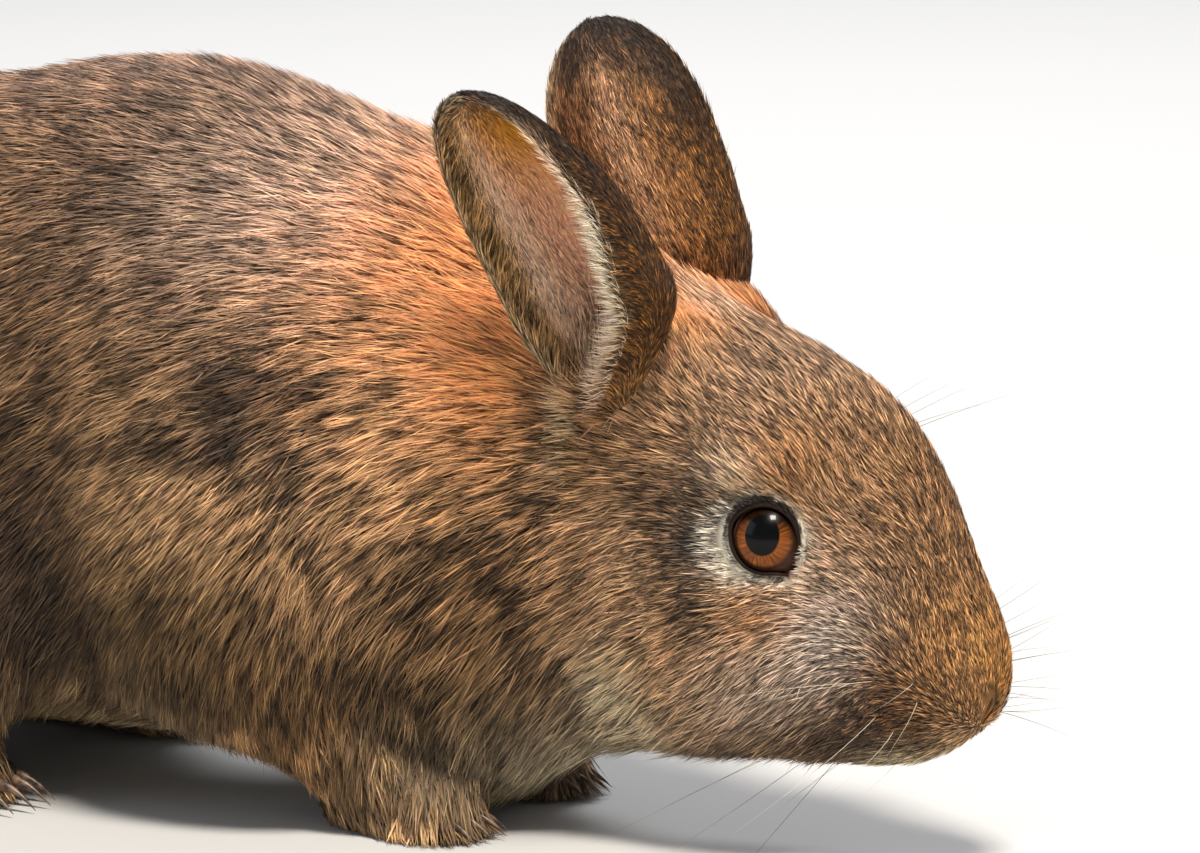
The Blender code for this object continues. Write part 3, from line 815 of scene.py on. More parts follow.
MARKS = [  # place, reach in mm, colour, share of dark tips, strength
    ((0, 0, 165), (95, 60, 24), (144, 114, 98), 0.46, 0.95),  # back, greyish brown, its lilac-grey partly a painted reflection of the sky
    ((-130, 0, 110), (50, 70, 50), (124, 92, 64), 0.50, 0.85),  # rump
    ((-60, -55, 80), (55, 30, 40), (78, 58, 36), 0.40, 0.94),  # flank and thigh, darker partly by painted shade
    ((22, -52, 74), (20, 26, 18), (184, 146, 108), 0.26, 0.9),  # shoulder
    ((16, -50, 44), (26, 26, 20), (100, 78, 48), 0.34, 0.85),  # upper arm, darker partly by painted shade
    ((-19, -52, 50), (12, 18, 27), (50, 36, 24), 0.5, 0.88),  # dark line in the fold behind the upper arm, painted shade
    ((36, -50, 99), (12, 16, 9), (58, 44, 34), 0.75, 0.97),  # dark spot above the shoulder
    ((16, -50, 88), (13, 16, 3.2), (60, 44, 30), 0.6, 0.8),  # painted shade in the creases above the shoulder
    ((46, -46, 92), (5, 14, 12), (80, 58, 40), 0.65, 0.7),
    ((74, -38, 90), (16, 20, 18), (204, 162, 122), 0.32, 0.88),  # neck
    ((6, -34, 136), (26, 22, 18), (98, 72, 52), 0.48, 0.8),  # side of the back
    ((52, -20, 134), (30, 30, 14), (200, 174, 160), 0.22, 0.85),  # withers, pale lilac-grey, partly a painted reflection of the sky
    ((77, -10, 124), (23, 34, 19), (222, 151, 96), 0.07, 0.98),  # nape
    # nape behind the ear's root, brighter partly as painted light where the ear shades it
    ((88, -30, 104), (9, 16, 14), (232, 160, 102), 0.06, 0.95),
    ((64, -20, 20), (30, 40, 26), (78, 62, 38), 0.3, 0.92),  # chest, darker partly by painted shade
    ((84, -34, 62), (14, 16, 18), (136, 102, 66), 0.40, 0.8),  # lower neck
    ((-20, 0, 8), (70, 34, 14), (206, 192, 160), 0.0, 0.95),  # belly
    ((105, 0, 16), (23, 22, 12), (216, 204, 180), 0.0, 0.9),  # throat
    ((140, -8, 18), (30, 18, 9), (88, 74, 50), 0.3, 0.95),  # jaw, dark brown as painted shade
    ((168, 0, 22), (8, 12, 5), (214, 202, 176), 0.0, 0.9),  # chin
    ((150, 0, 104), (24, 22, 16), (184, 148, 120), 0.52, 0.95),  # forehead
    ((172, 0, 72), (12, 12, 22), (152, 111, 74), 0.52, 0.95),  # bridge
    ((166, -14, 54), (7, 7, 9), (136, 100, 68), 0.5, 0.75),  # side of the snout
    ((152, -14, 84), (9, 9, 9), (180, 134, 94), 0.46, 0.8),  # side of the forehead
    ((140, -26, 60), (22, 10, 18), (228, 184, 146), 0.36, 0.9),  # cheek
    ((142, -23, 41), (11, 9, 7), (214, 188, 166), 0.44, 0.9),
    ((155, -19, 50), (7, 7, 9), (220, 200, 188), 0.34, 0.95),  # pale stripe below the eye
    ((142, -25, 56), (6, 7, 3.6), (172, 124, 84), 0.34, 0.9),  # brown spot below the eye
    ((128, -24, 79), (8, 9, 6), (76, 56, 38), 0.55, 0.9),  # temple
    ((127.5, -26, 69), (4.3, 9, 5), (26, 18, 14), 0.9, 1.0),  # smudges behind the eye
    ((129.5, -27, 57), (3.8, 9, 4.6), (38, 28, 22), 0.85, 0.96),
    ((118, -27, 46), (9, 10, 9), (170, 132, 94), 0.40, 0.85),  # rear of the cheek
    ((109, -27, 38), (6, 9, 7), (224, 208, 176), 0.2, 0.95),  # cream fringe behind the jaw
    ((114, -24, 28), (6, 10, 6.5), (228, 214, 184), 0.25, 0.95),
    ((120, -21, 20), (6, 10, 4), (188, 174, 138), 0.35, 0.7),
    ((131, -18, 24), (12, 12, 6), (66, 50, 35), 0.4, 0.94),  # under side of the jaw, dark as painted shade
    ((156, -14, 29), (9, 8, 4), (50, 35, 25), 0.5, 0.9),  # corner of the mouth, dark as painted shade in its line
    ((168, -14, 37), (8, 8, 7), (88, 58, 35), 0.46, 0.95),  # whisker pad
    ((177, -9, 48), (6, 8, 9), (158, 112, 64), 0.42, 0.85),  # side of the nose
    ((184, 0, 40), (4, 5, 10), (206, 146, 70), 0.08, 0.85),  # tip of the nose
    ((180, -6, 27), (4, 4, 4), (196, 168, 136), 0.1, 0.7),  # upper lip
    ((185.5, -3.7, 36), (2.4, 1.5, 3.0), (42, 27, 22), 0.3, 0.92),  # nostril, dark as painted shade inside it
    ((184, 0, 29.5), (3.5, 0.9, 5.0), (50, 33, 26), 0.3, 0.85),  # cleft below the nose, dark as painted shade in the groove
    ((137, -20, 84), (5, 7, 2.8), (238, 210, 180), 0.08, 0.95),  # pale brow
    ((147, -17, 84), (5, 8, 5), (190, 132, 82), 0.42, 0.85),  # brown brow
    ((120, -12, 114), (7, 8, 5), (222, 142, 70), 0.12, 0.9),  # tuft before the ears
    ((125, -3, 119), (6, 12, 4), (252, 242, 230), 0.02, 0.95),
    ((92, -35, 62), (3, 10, 15), (92, 66, 44), 0.7, 0.7),  # painted shade in the crease behind the jaw
    ((104, -32, 88), (7, 12, 9), (152, 114, 74), 0.46, 0.8),  # below the ear
    ((102, -34, 97), (2.2, 6, 8), (230, 212, 180), 0.02, 0.7),  # pale line below the ear's root
    ((-166, 0, 64), (12, 15, 22), (240, 234, 222), 0.0, 0.97),  # tail
    ((-158, 0, 92), (12, 14, 9), (120, 92, 66), 0.4, 0.9),  # upper side of the tail
    ((34, -32, 22), (12, 14, 16), (172, 124, 78), 0.2, 0.8),  # forearm
    ((58, -24, 6), (14, 14, 10), (190, 148, 106), 0.1, 0.9),  # forepaw
    ((-90, -46, 10), (60, 20, 14), (182, 142, 100), 0.14, 0.9),  # long foot
]
print("marks on head and body:", len(MARKS))

# %% [markdown]
# ## Marks of the ears
# The two faces of an ear differ: brown and ticked outside, bare pink and yellow inside, with a dark
# tip and a pale front fringe. Places in space can't tell them apart, so these marks are given by
# how far up and across the ear they are. The pink and yellow inside are brighter partly as painted
# light shining through the ear, and a pale streak up the outer face is a painted highlight.

# %% Colours of the ears
EAR_MARKS = [  # up, across, reach up, reach across, colour, dark tips, strength; outer face then inner
    [
        (0.5, 0.5, 0.9, 0.9, (134, 92, 54), 0.48, 1.0),
        # a painted highlight: a pale streak up the middle of the outer face
        (0.56, 0.50, 0.22, 0.07, (208, 164, 130), 0.16, 0.75),
        (0.30, 0.62, 0.25, 0.08, (156, 104, 56), 0.3, 0.6),
        (0.35, 0.0, 0.5, 0.07, (206, 186, 150), 0.45, 0.8),
        (0.5, 0.90, 0.6, 0.13, (122, 76, 16), 0.66, 0.95),
        (0.0, 0.5, 0.09, 0.6, (172, 126, 78), 0.2, 0.7),
        (1.04, 0.5, 0.14, 0.9, (66, 55, 48), 0.85, 0.98),
        (0.85, 0.86, 0.2, 0.10, (58, 42, 30), 0.9, 0.8),
        (0.30, 1.0, 0.2, 0.02, (226, 196, 150), 0.1, 0.8),
        (0.5, 0.0, 0.7, 0.02, (232, 214, 182), 0.1, 0.8),
    ],
    [
        # inner face: pink and yellow, brighter partly as painted light shining through the thin ear
        (0.5, 0.5, 0.9, 0.9, (248, 190, 160), 0.0, 1.0),
        (0.85, 0.56, 0.15, 0.36, (200, 132, 0), 0.05, 0.99),
        (0.68, 0.80, 0.17, 0.14, (218, 148, 10), 0.05, 0.97),
        (0.10, 0.4, 0.16, 0.4, (186, 164, 138), 0.25, 0.85),
        (0.14, 0.62, 0.16, 0.07, (78, 58, 52), 0.3, 0.8),
        (0.5, 0.02, 0.7, 0.10, (170, 134, 82), 0.5, 0.95),
        (0.40, 0.17, 0.30, 0.05, (238, 210, 188), 0.12, 0.7),
        (0.50, 1.0, 0.36, 0.07, (250, 242, 228), 0.03, 0.98),
        (1.04, 0.5, 0.09, 0.9, (70, 58, 48), 0.6, 0.95),
    ],
]
print("marks on the ears:", [len(rows) for rows in EAR_MARKS])

# %% [markdown]
# ## Painting the skin
# The marks are laid over each other in the order of their lists, as a painter works from broad
# washes to small accents. Round the eye they follow the outline of the lids and not a place, as
# they do on a real face. Ripples then break up the washes, more on the body than on the head, and
# painted shade darkens the lower body towards the floor.

# %% Colour and dark tips on the skin
PLAIN_COAT, PLAIN_TICKS = (166, 128, 94), 0.35
TINT = (0.92, 0.895, 0.82)  # takes the whole coat a little darker and warmer
VEINS = ((0.0, 0.0), (0.10, 0.35), (0.12, -0.30))  # how far up each one turns off, and its slope


def laid_over(colour, ticks, patch, new_colour, new_ticks):
    """Mixes a new colour and share of dark tips over the old ones by patch, from 0 to 1."""
    patch = patch[:, None]
    return colour + (linear(new_colour) - colour) * patch, ticks + (new_ticks - ticks) * patch[:, 0]


def body_marks(points):
    """The marks of head and body over the plain coat, each a Gaussian of the distance to its place."""
    local = own(points)
    colour = np.tile(linear(PLAIN_COAT), (len(points), 1))
    ticks = np.full(len(points), PLAIN_TICKS)
    for place, reach, shade, dark, strength in MARKS:
        patch = strength * np.exp(-0.5 * (((local - place) / np.array(reach, float)) ** 2).sum(1))
        colour, ticks = laid_over(colour, ticks, patch, shade, dark)
    return colour, ticks


def eye_marks(points, colour, ticks):
    """A pale ring, wider behind and in front, a dark rim, heavier above, and a pink tear corner."""
    for side_name in SIDES:
        angle, rim, in_front = round_the_eye(points, side_name)
        wide = 1.2 + 2.6 * np.clip(np.cos(angle + 2.7), 0, 1) ** 2
        wide = wide + 2.8 * np.exp(-(((angle + 0.15) / 0.6) ** 2))
        pale = np.exp(-((np.maximum(rim - 1.0, 0) / wide) ** 2.4)) * in_front
        colour, ticks = laid_over(colour, ticks, pale, (255, 246, 232), 0.0)
        heavy = 1.2 + 0.7 * np.clip(np.sin(angle - 0.2), 0, 1)
        dark = np.clip((heavy - rim) / 0.4, 0, 1) * in_front
        colour, ticks = laid_over(colour, ticks, dark, (40, 27, 21), 0.5)
        tear = np.exp(-(((angle + TEAR_ANGLE) / 0.35) ** 2))
        tear = tear * np.clip(1.2 - np.abs(rim + 0.6) / 1.2, 0, 1) * in_front
        colour, ticks = laid_over(colour, ticks, tear, (150, 96, 78), 0.0)
    return colour, ticks


def ear_marks(colour, ticks):
    """The marks of the ears' two faces, by how far up and across the ear, and thin veins inside."""
    for face, rows in zip((-1, 1), EAR_MARKS):
        there = on_ear * (ear_inner * face > 0)
        for up, across, reach_up, reach_across, shade, dark, strength in rows:
            apart = ((ear_up - up) / reach_up) ** 2 + ((ear_across - across) / reach_across) ** 2
            patch = there * strength * np.exp(-0.5 * apart)
            colour, ticks = laid_over(colour, ticks, patch, shade, dark)
    inner = on_ear * (ear_inner > 0)
    for bend, slope in VEINS:
        vein = 0.56 + 0.03 * np.sin(9 * ear_up) + slope * np.clip(ear_up - 0.25 - bend, 0, 1)
        thin = np.exp(-(((ear_across - vein) / 0.022) ** 2)) * np.clip((0.8 - ear_up) / 0.3, 0, 1)
        colour, ticks = laid_over(colour, ticks, 0.5 * inner * thin, (176, 96, 84), 0.0)
    return colour, ticks


def mottled(points, colour, ticks):
    """Ripples of 35, 11 and 6 mm in colour and dark tips, and painted shade that darkens the lower body."""
    local = own(points)
    broad = np.clip((120 - local[:, 0]) / 60, 0, 1)
    patches = ripple(points * (1, 1, 1.3), 11 * MM, 12)
    spots = ripple(points, 6 * MM, 13)
    mottle = 1 + 0.08 * ripple(points, 35 * MM, 11)
    mottle = mottle + (0.06 + 0.12 * broad) * patches + 0.11 * broad * spots
    ticks = ticks * (1 - 0.55 * broad * patches - 0.35 * broad * spots)
    # Painted shade: the lower body and legs grow darker towards the floor, except where the coat is pale.
    shade_below = 1 - 0.62 * broad * np.clip((78 - local[:, 2]) / 58, 0, 1) * (ticks > 0.12)
    colour = colour * (mottle * shade_below)[:, None] * TINT
    return np.clip(colour, 0, 1), np.clip(ticks, 0, 1)


tone, ticks = body_marks(points)
tone, ticks = eye_marks(points, tone, ticks)
tone, ticks = ear_marks(tone, ticks)
tone, ticks = mottled(points, tone, ticks)
print("mean colour of the coat:", tone.mean(0).round(3), "mean share of dark tips:", ticks.mean().round(2))

# %% [markdown]
# ## Lie and length on the skin
# The guides give the lie everywhere, but openings and ears need rules of their own. Hair is short
# round the eye, and what would grow across the opening is turned outwards. None grows on the lids'
# rims, in the nostrils or on the ground side of the feet. On the ears it runs from the root to the
# tip and is short, with a longer pale fringe along the front edge and little on the inner face.

# %% Lie round the eyes and nostrils
HAIRLESS_RIM = 0.75  # millimetres outside the opening
NOSTRIL_BARE = np.array([2.7, 1.2, 2.9])
way, hair, steep = coat_at(points)
bare = np.zeros(COUNT)
thick = np.ones(COUNT)
for side_name, side in SIDES.items():
    angle, rim, in_front = round_the_eye(points, side_name)
    bare = np.maximum(bare, ((rim < HAIRLESS_RIM) & in_front).astype(float))
    thick = thick + 2.5 * in_front * np.exp(-((rim / 3.5) ** 2))
    outwards = across_gaze(angle, side_name)
    across_eye = np.clip(0.25 - (way * outwards).sum(1), 0, 1)
    push = 1.8 * across_eye * in_front * np.exp(-np.maximum(rim, 0) / 1.8)
    way = way + outwards * push[:, None]
    longest = (1.5 + 3.0 * np.clip((rim - 0.5) / 6, 0, 1)) * MM
    hair = np.where(in_front & (rim < 6.5), np.minimum(hair, longest), hair)
    from_nostril = np.linalg.norm((points - nostril_at(side)) / NOSTRIL_BARE, axis=1)
    bare = np.maximum(bare, (from_nostril < 1.3 * MM).astype(float))
print("bare vertices on the face:", int((bare > 0.5).sum()))

# %% Lie and length on the ears and feet
EAR_STEEPNESS = math.radians(13)
middle = np.exp(-(((ear_across - 0.54) / 0.33) ** 4))
by_tip = 0.55 + 0.45 * np.clip((1.02 - ear_up) / 0.12, 0, 1)
front_edge = np.clip((ear_across - 0.92) / 0.08, 0, 1)
ear_length = np.where(ear_inner > 0, 2.0 + 3.6 * (1 - middle), 3.4) * by_tip
ear_length += 1.2 * np.clip((0.25 - ear_up) / 0.25, 0, 1)
ear_length += 2.0 * front_edge * np.clip((0.80 - ear_up) / 0.3, 0, 1) * np.clip(ear_up / 0.2, 0, 1)
hair = np.where(is_ear, ear_length * MM, hair)
steep = np.where(is_ear, EAR_STEEPNESS, steep)
way = np.where(is_ear[:, None], ear_way, way)
way = unit(way - normals * (way * normals).sum(1, keepdims=True))
sole = (points[:, 2] < 2.2 * MM) & (normals[:, 2] < -0.3)
bare = np.maximum(bare, sole.astype(float))
inner_thick = 0.05 + 0.95 * (1 - middle) + 1.2 * np.clip(ear_up - 0.86, 0, 1)
inner_thick = inner_thick + 0.8 * np.clip(0.25 - ear_up, 0, 1)
thick = np.where(is_ear & (ear_inner > 0), inner_thick, thick)
print("hair from", (hair.min() / MM).round(1), "to", (hair.max() / MM).round(1), "mm")

# %% [markdown]
# ## An unwrap of the skin
# Each tuft later gets a small patch of a map, at the place where it stands on an unwrap of the
# skin. Seams could be marked by hand, but no one looks at this map, so Blender's Smart UV Project
# makes it from the shape of the skin itself.

# %% Unwrap the skin
for other in bpy.context.selected_objects:
    other.select_set(False)
bpy.context.view_layer.objects.active = skin
skin.select_set(True)
bpy.ops.object.mode_set(mode="EDIT")
bpy.ops.mesh.select_all(action="SELECT")
bpy.ops.uv.smart_project(angle_limit=math.radians(70), island_margin=0.001)
bpy.ops.object.mode_set(mode="OBJECT")
skin.data.uv_layers[0].name = "Unwrap"
print("the skin's map has", len(skin.data.uv_layers[0].data), "corners")

# %% [markdown]
# ## Scattering the roots
# Blender's particles could stand the hairs on the skin, but arrays keep every root at hand and stay
# the same each run. Roots are spread over the triangles of the skin in step with their area and the
# density wanted there. The running total of that product is a ruler along which roots stand at even
# steps with a little chance, so that none crowd and no bare spots show. Each one then reads the
# skin's values with the same three weights as its place.

# %% Roots over the skin
skin.data.calc_loop_triangles()
triangles = skin.data.loop_triangles
tri_count = len(triangles)
tri_verts, tri_loops = np.empty((2, tri_count * 3), np.int32)
tri_area = np.empty(tri_count, np.float32)
triangles.foreach_get("vertices", tri_verts)
triangles.foreach_get("loops", tri_loops)
triangles.foreach_get("area", tri_area)
tri_verts, tri_loops = tri_verts.reshape(-1, 3), tri_loops.reshape(-1, 3)
unwrap = np.empty(len(skin.data.loops) * 2, np.float32)
skin.data.uv_layers["Unwrap"].data.foreach_get("uv", unwrap)
unwrap = unwrap.reshape(-1, 2)
tri_own = own(points[tri_verts].mean(1))
tri_ear = is_ear[tri_verts].mean(1) > 0.5
tri_thick = (thick * (1 - bare))[tri_verts].min(1)


def roots_on(wanted, total, seed):
    """That many roots on the wanted triangles, as triangle numbers and the three weights."""
    chance = np.random.default_rng(seed)
    ruler = np.cumsum(tri_area * tri_thick * wanted)
    step = ruler[-1] / total
    chosen = np.searchsorted(ruler, (np.arange(total) + chance.uniform(0, 1, total)) * step)
    chosen = np.minimum(chosen, tri_count - 1)
    first, second = chance.uniform(0, 1, (2, total))
    first = np.sqrt(first)
    return chosen, np.stack([1 - first, first * (1 - second), first * second], 1)


def read(values, chosen, weights):
    """The skin's values at the roots: the three corners' values times the three weights."""
    corners = values[tri_verts[chosen]]
    if corners.ndim == 3:
        return (corners * weights[..., None]).sum(1)
    return (corners * weights).sum(1)


print("triangles of skin to stand on:", int((tri_thick > 0).sum()), "of", tri_count)

# %% [markdown]
# ## A tuft
# Real fur has far more hairs than a mesh can hold, so one flat, pointed kite of two triangles
# stands for a tuft of a few. It leaves the skin steeply and then bends down to lie along it, its
# height rising as s - s^2/2 while s runs from root to tip. It leans a little to the nearest clump,
# so that tips gather as in real fur, and is rolled about its own length so that neighbours catch
# the light differently.

# %% Tufts in whole arrays
TUFT = ((0.0, 0), (0.4, -1), (0.4, 1), (1.0, 0))  # share of the length, side
KITE = np.array([(0, 1, 2), (1, 3, 2)])
PALEST = 0.78  # the highest value of a tuft's colour, which keeps its hue when it is bright
LOWEST = 0.4 * MM  # no tuft goes nearer to the floor
CLUMP = 0.28  # a clump's cell as a share of the middle length
MAP_PATCH = 0.0015  # half the width of a tuft's patch on the map


def combed(root, outward, along, chance, seed):
    """The ways along the skin and beside it, turned by some 8 degrees of chance and 9 of ripple."""
    along = unit(along - outward * (along * outward).sum(1, keepdims=True))
    side = np.cross(outward, along)
    stray = chance.normal(0, 8, len(root)) + 9 * ripple(root, 16 * MM, seed + 1)
    stray = np.radians(stray)[:, None]
    c, s = np.cos(stray), np.sin(stray)
    return along * c + side * s, side * c - along * s


def tuft_map(mesh, chosen, weights, corners):
    """A small patch for each tuft at its root's place on the skin's unwrap."""
    up_share, flank = np.array(TUFT, float).T
    spot = (unwrap[tri_loops[chosen]] * weights[..., None]).sum(1)
    patch = spot[:, None, :] + np.stack([flank, up_share * 2 - 1], 1)[None] * MAP_PATCH
    layer = mesh.uv_layers.new(name="OFBake")
    layer.data.foreach_set("uv", patch.reshape(-1, 2)[corners].astype(np.float32).ravel())


def coat_piece(name, wanted, total, seed, width, gather, contrast=0.24, longer=1.0, shared=0.5, black=1.0):
    """One mesh of kites: root, two sides at 0.4 of the length, and tip.

    place = root + along s length + outward tan(steepness) length (s - s^2/2) + lean gather s^2,
    with s = 0, 0.4 and 1, and half the width to each side at 0.4. The width comes in millimetres.
    Shared is how much of a tuft's shade and dark tip it has from its clump.
    """
    chance = np.random.default_rng(seed)
    chosen, weights = roots_on(wanted, total, seed)
    root = read(points, chosen, weights)
    outward = unit(read(normals, chosen, weights))
    along = read(way, chosen, weights)
    length = read(hair, chosen, weights) * chance.uniform(0.72, 1.28, total) * longer
    rise = np.tan(read(steep, chosen, weights) * chance.uniform(0.6, 1.35, total)) / longer
    along, side = combed(root, outward, along, chance, seed)
    lean, number = clumps(root + along * length[:, None] * 0.5, np.median(length) * CLUMP)
    lean -= outward * (lean * outward).sum(1, keepdims=True)
    roll = np.radians(chance.normal(0, 24, total))[:, None]
    across = side * np.cos(roll) + outward * np.sin(roll)
    half = width * MM * chance.uniform(0.75, 1.25, total)[:, None] / 2
    rows = []
    for step, flank in TUFT:
        place = root + along * (length * step)[:, None]
        place += outward * (length * rise * (step - step * step / 2))[:, None]
        rows.append(place + lean * gather * step**2 + across * half * flank)
    per = len(TUFT)
    places = np.stack(rows, 1)
    places[..., 2] = np.maximum(places[..., 2], LOWEST)
    corners = (np.arange(total)[:, None, None] * per + KITE[None]).reshape(-1)
    mesh = mesh_from(name, places.reshape(-1, 3), corners, np.full(total * len(KITE), 3))
    shade = np.exp(1.6 * shared * (number - 0.5) + contrast * chance.normal(0, 1, total))
    warm = 1 + 0.05 * chance.normal(0, 1, (total, 3)) * (0.4, 0.6, 1.2)
    colour = np.clip(read(tone, chosen, weights) * shade[:, None] * warm, 0, None)
    colour = colour * np.minimum(1, PALEST / np.maximum(colour.max(1, keepdims=True), PALEST))
    own_colours(mesh, "Tone", np.repeat(colour, per, axis=0))
    dark = read(ticks, chosen, weights)
    ticked = ((1 - shared) * chance.uniform(0, 1, total) + shared * number) < dark
    own_values(mesh, "Ticked", np.repeat(ticked * black * chance.uniform(0.7, 1, total), per))
    own_values(mesh, "Along", np.tile([step for step, _ in TUFT], total))
    own_values(mesh, "Slate", np.repeat(np.clip(dark * 2.4, 0.12, 1), per))
    tuft_map(mesh, chosen, weights, corners)
    return object_of(name, mesh)


# %% [markdown]
# ## Pieces of the coat
# One mesh for the whole coat would be too heavy, so it is parted into zones: face, cheeks, six
# slices of the body, ears, feet and tail. The tufts are finest and densest on face and ears, where
# a rabbit's hair is shortest, and broader on the back, the feet and the tail.

# %% Zones and their tufts
x, y, z = tri_own.T
head_part = ~tri_ear & ((x > 104) | ((x > 92) & (z > 96)))
feet_part = ~tri_ear & (z < 18) & ((x < -30) | ((x > 28) & (x < 76) & (z < 14)))
tail_part = ~tri_ear & (x < -149) & (np.abs(y) < 15) & (z > 44) & (z < 92)
body_part = ~tri_ear & ~head_part & ~feet_part & ~tail_part
face_part = head_part & (x > 128)
back_head = head_part & ~face_part
MOST_TUFTS = 99000
BODY_TUFTS = 400000
FACE_LOOKS = {"width": 0.30, "gather": 0.5, "contrast": 0.6, "longer": 1.25, "shared": 0.3}
CHEEK_LOOKS = {"width": 0.31, "gather": 0.5, "contrast": 0.52, "longer": 1.1, "shared": 0.35}
CHEST_LOOKS = {"width": 0.31, "gather": 0.75, "contrast": 0.34, "longer": 0.92, "shared": 0.55}
BACK_LOOKS = {"width": 0.34, "gather": 0.6, "contrast": 0.26, "longer": 0.78, "shared": 0.42, "black": 0.8}
EAR_LOOKS = {"width": 0.27, "gather": 0.35, "contrast": 0.5, "longer": 1.1, "shared": 0.35}
FEET_LOOKS = {"width": 0.45, "gather": 0.4}
TAIL_LOOKS = {"width": 0.45, "gather": 0.5}
zones = [  # name, slot, triangles, tufts, seed, looks
    ("coat_face", "agouti_coat", face_part, MOST_TUFTS, 21, FACE_LOOKS),
    ("coat_cheeks", "agouti_coat", back_head, 96000, 22, CHEEK_LOOKS),
]
SLICES = ((200, 66), (66, 30), (30, -10), (-10, -60), (-60, -105), (-105, -200))
for number, (front, rear) in enumerate(SLICES):
    zone = body_part & (x < front) & (x >= rear)
    closeness = 1.25 if front > -10 else 0.8
    share = tri_area[zone].sum() / tri_area[body_part].sum() * closeness
    tufts = min(int(BODY_TUFTS * share), MOST_TUFTS)
    looks = CHEST_LOOKS if front > 30 else BACK_LOOKS
    zones.append((f"coat_body_{number}", "agouti_coat", zone, tufts, 30 + number, looks))
zones += [
    ("coat_ears", "ear_coat", tri_ear, MOST_TUFTS, 41, EAR_LOOKS),
    ("coat_feet", "agouti_coat", feet_part, 30000, 42, FEET_LOOKS),
    ("coat_tail", "pale_coat", tail_part, 14000, 43, TAIL_LOOKS),
]
coats = []
for name, slot, zone, tufts, seed, looks in zones:
    coats.append((coat_piece(name, zone, tufts, seed, **looks), slot))
    print(name, "has", tufts, "tufts on", int(tri_area[zone].sum() * 1e6), "square mm")

# %% [markdown]
# ## Helpers for materials
# A material could be clicked together by hand. In code, a few short helpers make each node, give it
# its values and join it up, so that a material reads as a list of steps.


# %% Node helpers
def paint(red, green, blue):
    """Linear light with an alpha of 1, from display values of 0 to 255."""
    return (*linear((red, green, blue)), 1)


def material(name, slot_colour):
    """A new material, with its nodes, its links and its Principled shader."""
    made = bpy.data.materials.new(name)
    made.use_nodes = True
    made.diffuse_color = slot_colour
    nodes = made.node_tree.nodes
    return made, nodes, made.node_tree.links, nodes["Principled BSDF"]


def set_values(made, **values):
    """Sets a node's own sockets; an underscore in a name stands for a space."""
    for name, value in values.items():
        made.inputs[name.replace("_", " ")].default_value = value


def plug(links, socket, value):
    """Links a socket to another one, or gives it a plain value."""
    if isinstance(value, bpy.types.NodeSocket):
        links.new(value, socket)
    else:
        socket.default_value = value


def node(nodes, kind, **settings):
    """A new shader node with those settings."""
    made = nodes.new("ShaderNode" + kind)
    for key, value in settings.items():
        setattr(made, key, value)
    return made


def attribute(nodes, name, output="Color"):
    """What the mesh stores under that name."""
    return node(nodes, "Attribute", attribute_name=name).outputs[output]


def mixed(nodes, links, factor, first, second, blend="MIX"):
    """A colour mix; each of the three may be a socket or a plain value."""
    made = node(nodes, "Mix", data_type="RGBA", blend_type=blend)
    for number, value in ((0, factor), (6, first), (7, second)):
        plug(links, made.inputs[number], value)
    return made.outputs[2]


def times(nodes, links, first, second):
    """The product of two sockets."""
    made = node(nodes, "Math", operation="MULTIPLY")
    links.new(first, made.inputs[0])
    links.new(second, made.inputs[1])
    return made.outputs[0]


def along_vector(nodes, links, operation, *values, scale=1.0):
    """A vector step; each value may be a socket or a plain vector. A length comes as a number."""
    made = node(nodes, "VectorMath", operation=operation)
    for socket, value in zip(made.inputs, values):
        plug(links, socket, value)
    if operation == "SCALE":
        made.inputs["Scale"].default_value = scale
    return made.outputs["Value" if operation == "LENGTH" else "Vector"]


def noise(nodes, links, place, **values):
    """Noise in three dimensions, read at a place."""
    made = node(nodes, "TexNoise", noise_dimensions="3D")
    set_values(made, **values)
    links.new(place, made.inputs["Vector"])
    return made.outputs["Fac"]


def ramp(nodes, links, source, *stops):
    """A smooth colour ramp of (place, grey or colour) stops, fed by a socket."""
    made = node(nodes, "ValToRGB")
    made.color_ramp.interpolation = "EASE"
    points_on = made.color_ramp.elements
    while len(points_on) < len(stops):
        points_on.new(0.5)
    for point, (place, value) in zip(points_on, stops):
        point.position = place
        point.color = (value, value, value, 1) if np.isscalar(value) else value
    links.new(source, made.inputs[0])
    return made.outputs[0]


# %% [markdown]
# ## Ticked hair
# Each hair is slate at its root, has a warm band, and may have a black tip. A picture could show
# that, but then no two hairs could differ. So a node group turns the tuft's own colour, how far
# along it is, and whether it is ticked into the hair's colour, for all pieces of the coat.

# %% The hair's bands as a node group
SLATE, DARK_TIP = paint(62, 52, 47), paint(24, 16, 12)
BAND_GAIN = (1.46, 1.48, 1.5, 1)
ticked_hair = bpy.data.node_groups.new("ticked hair", "ShaderNodeTree")
ticked_hair.interface.new_socket("Tone", in_out="INPUT", socket_type="NodeSocketColor")
for label in ("Along", "Ticked", "Slate"):
    ticked_hair.interface.new_socket(label, in_out="INPUT", socket_type="NodeSocketFloat")
ticked_hair.interface.new_socket("Colour", in_out="OUTPUT", socket_type="NodeSocketColor")
nodes, links = ticked_hair.nodes, ticked_hair.links
given = nodes.new("NodeGroupInput").outputs
leave = nodes.new("NodeGroupOutput")
near_root = ramp(nodes, links, given["Along"], (0.22, 1.0), (0.72, 0.0))
in_band = ramp(nodes, links, given["Along"], (0.34, 0.0), (0.60, 1.0), (0.98, 0.6))
near_tip = ramp(nodes, links, given["Along"], (0.42, 0.0), (0.68, 1.0))
slate = mixed(nodes, links, 0.72, given["Tone"], SLATE)
rooted = mixed(nodes, links, times(nodes, links, near_root, given["Slate"]), given["Tone"], slate)
bright = mixed(nodes, links, 1.0, rooted, BAND_GAIN, "MULTIPLY")
banded = mixed(nodes, links, in_band, rooted, bright)
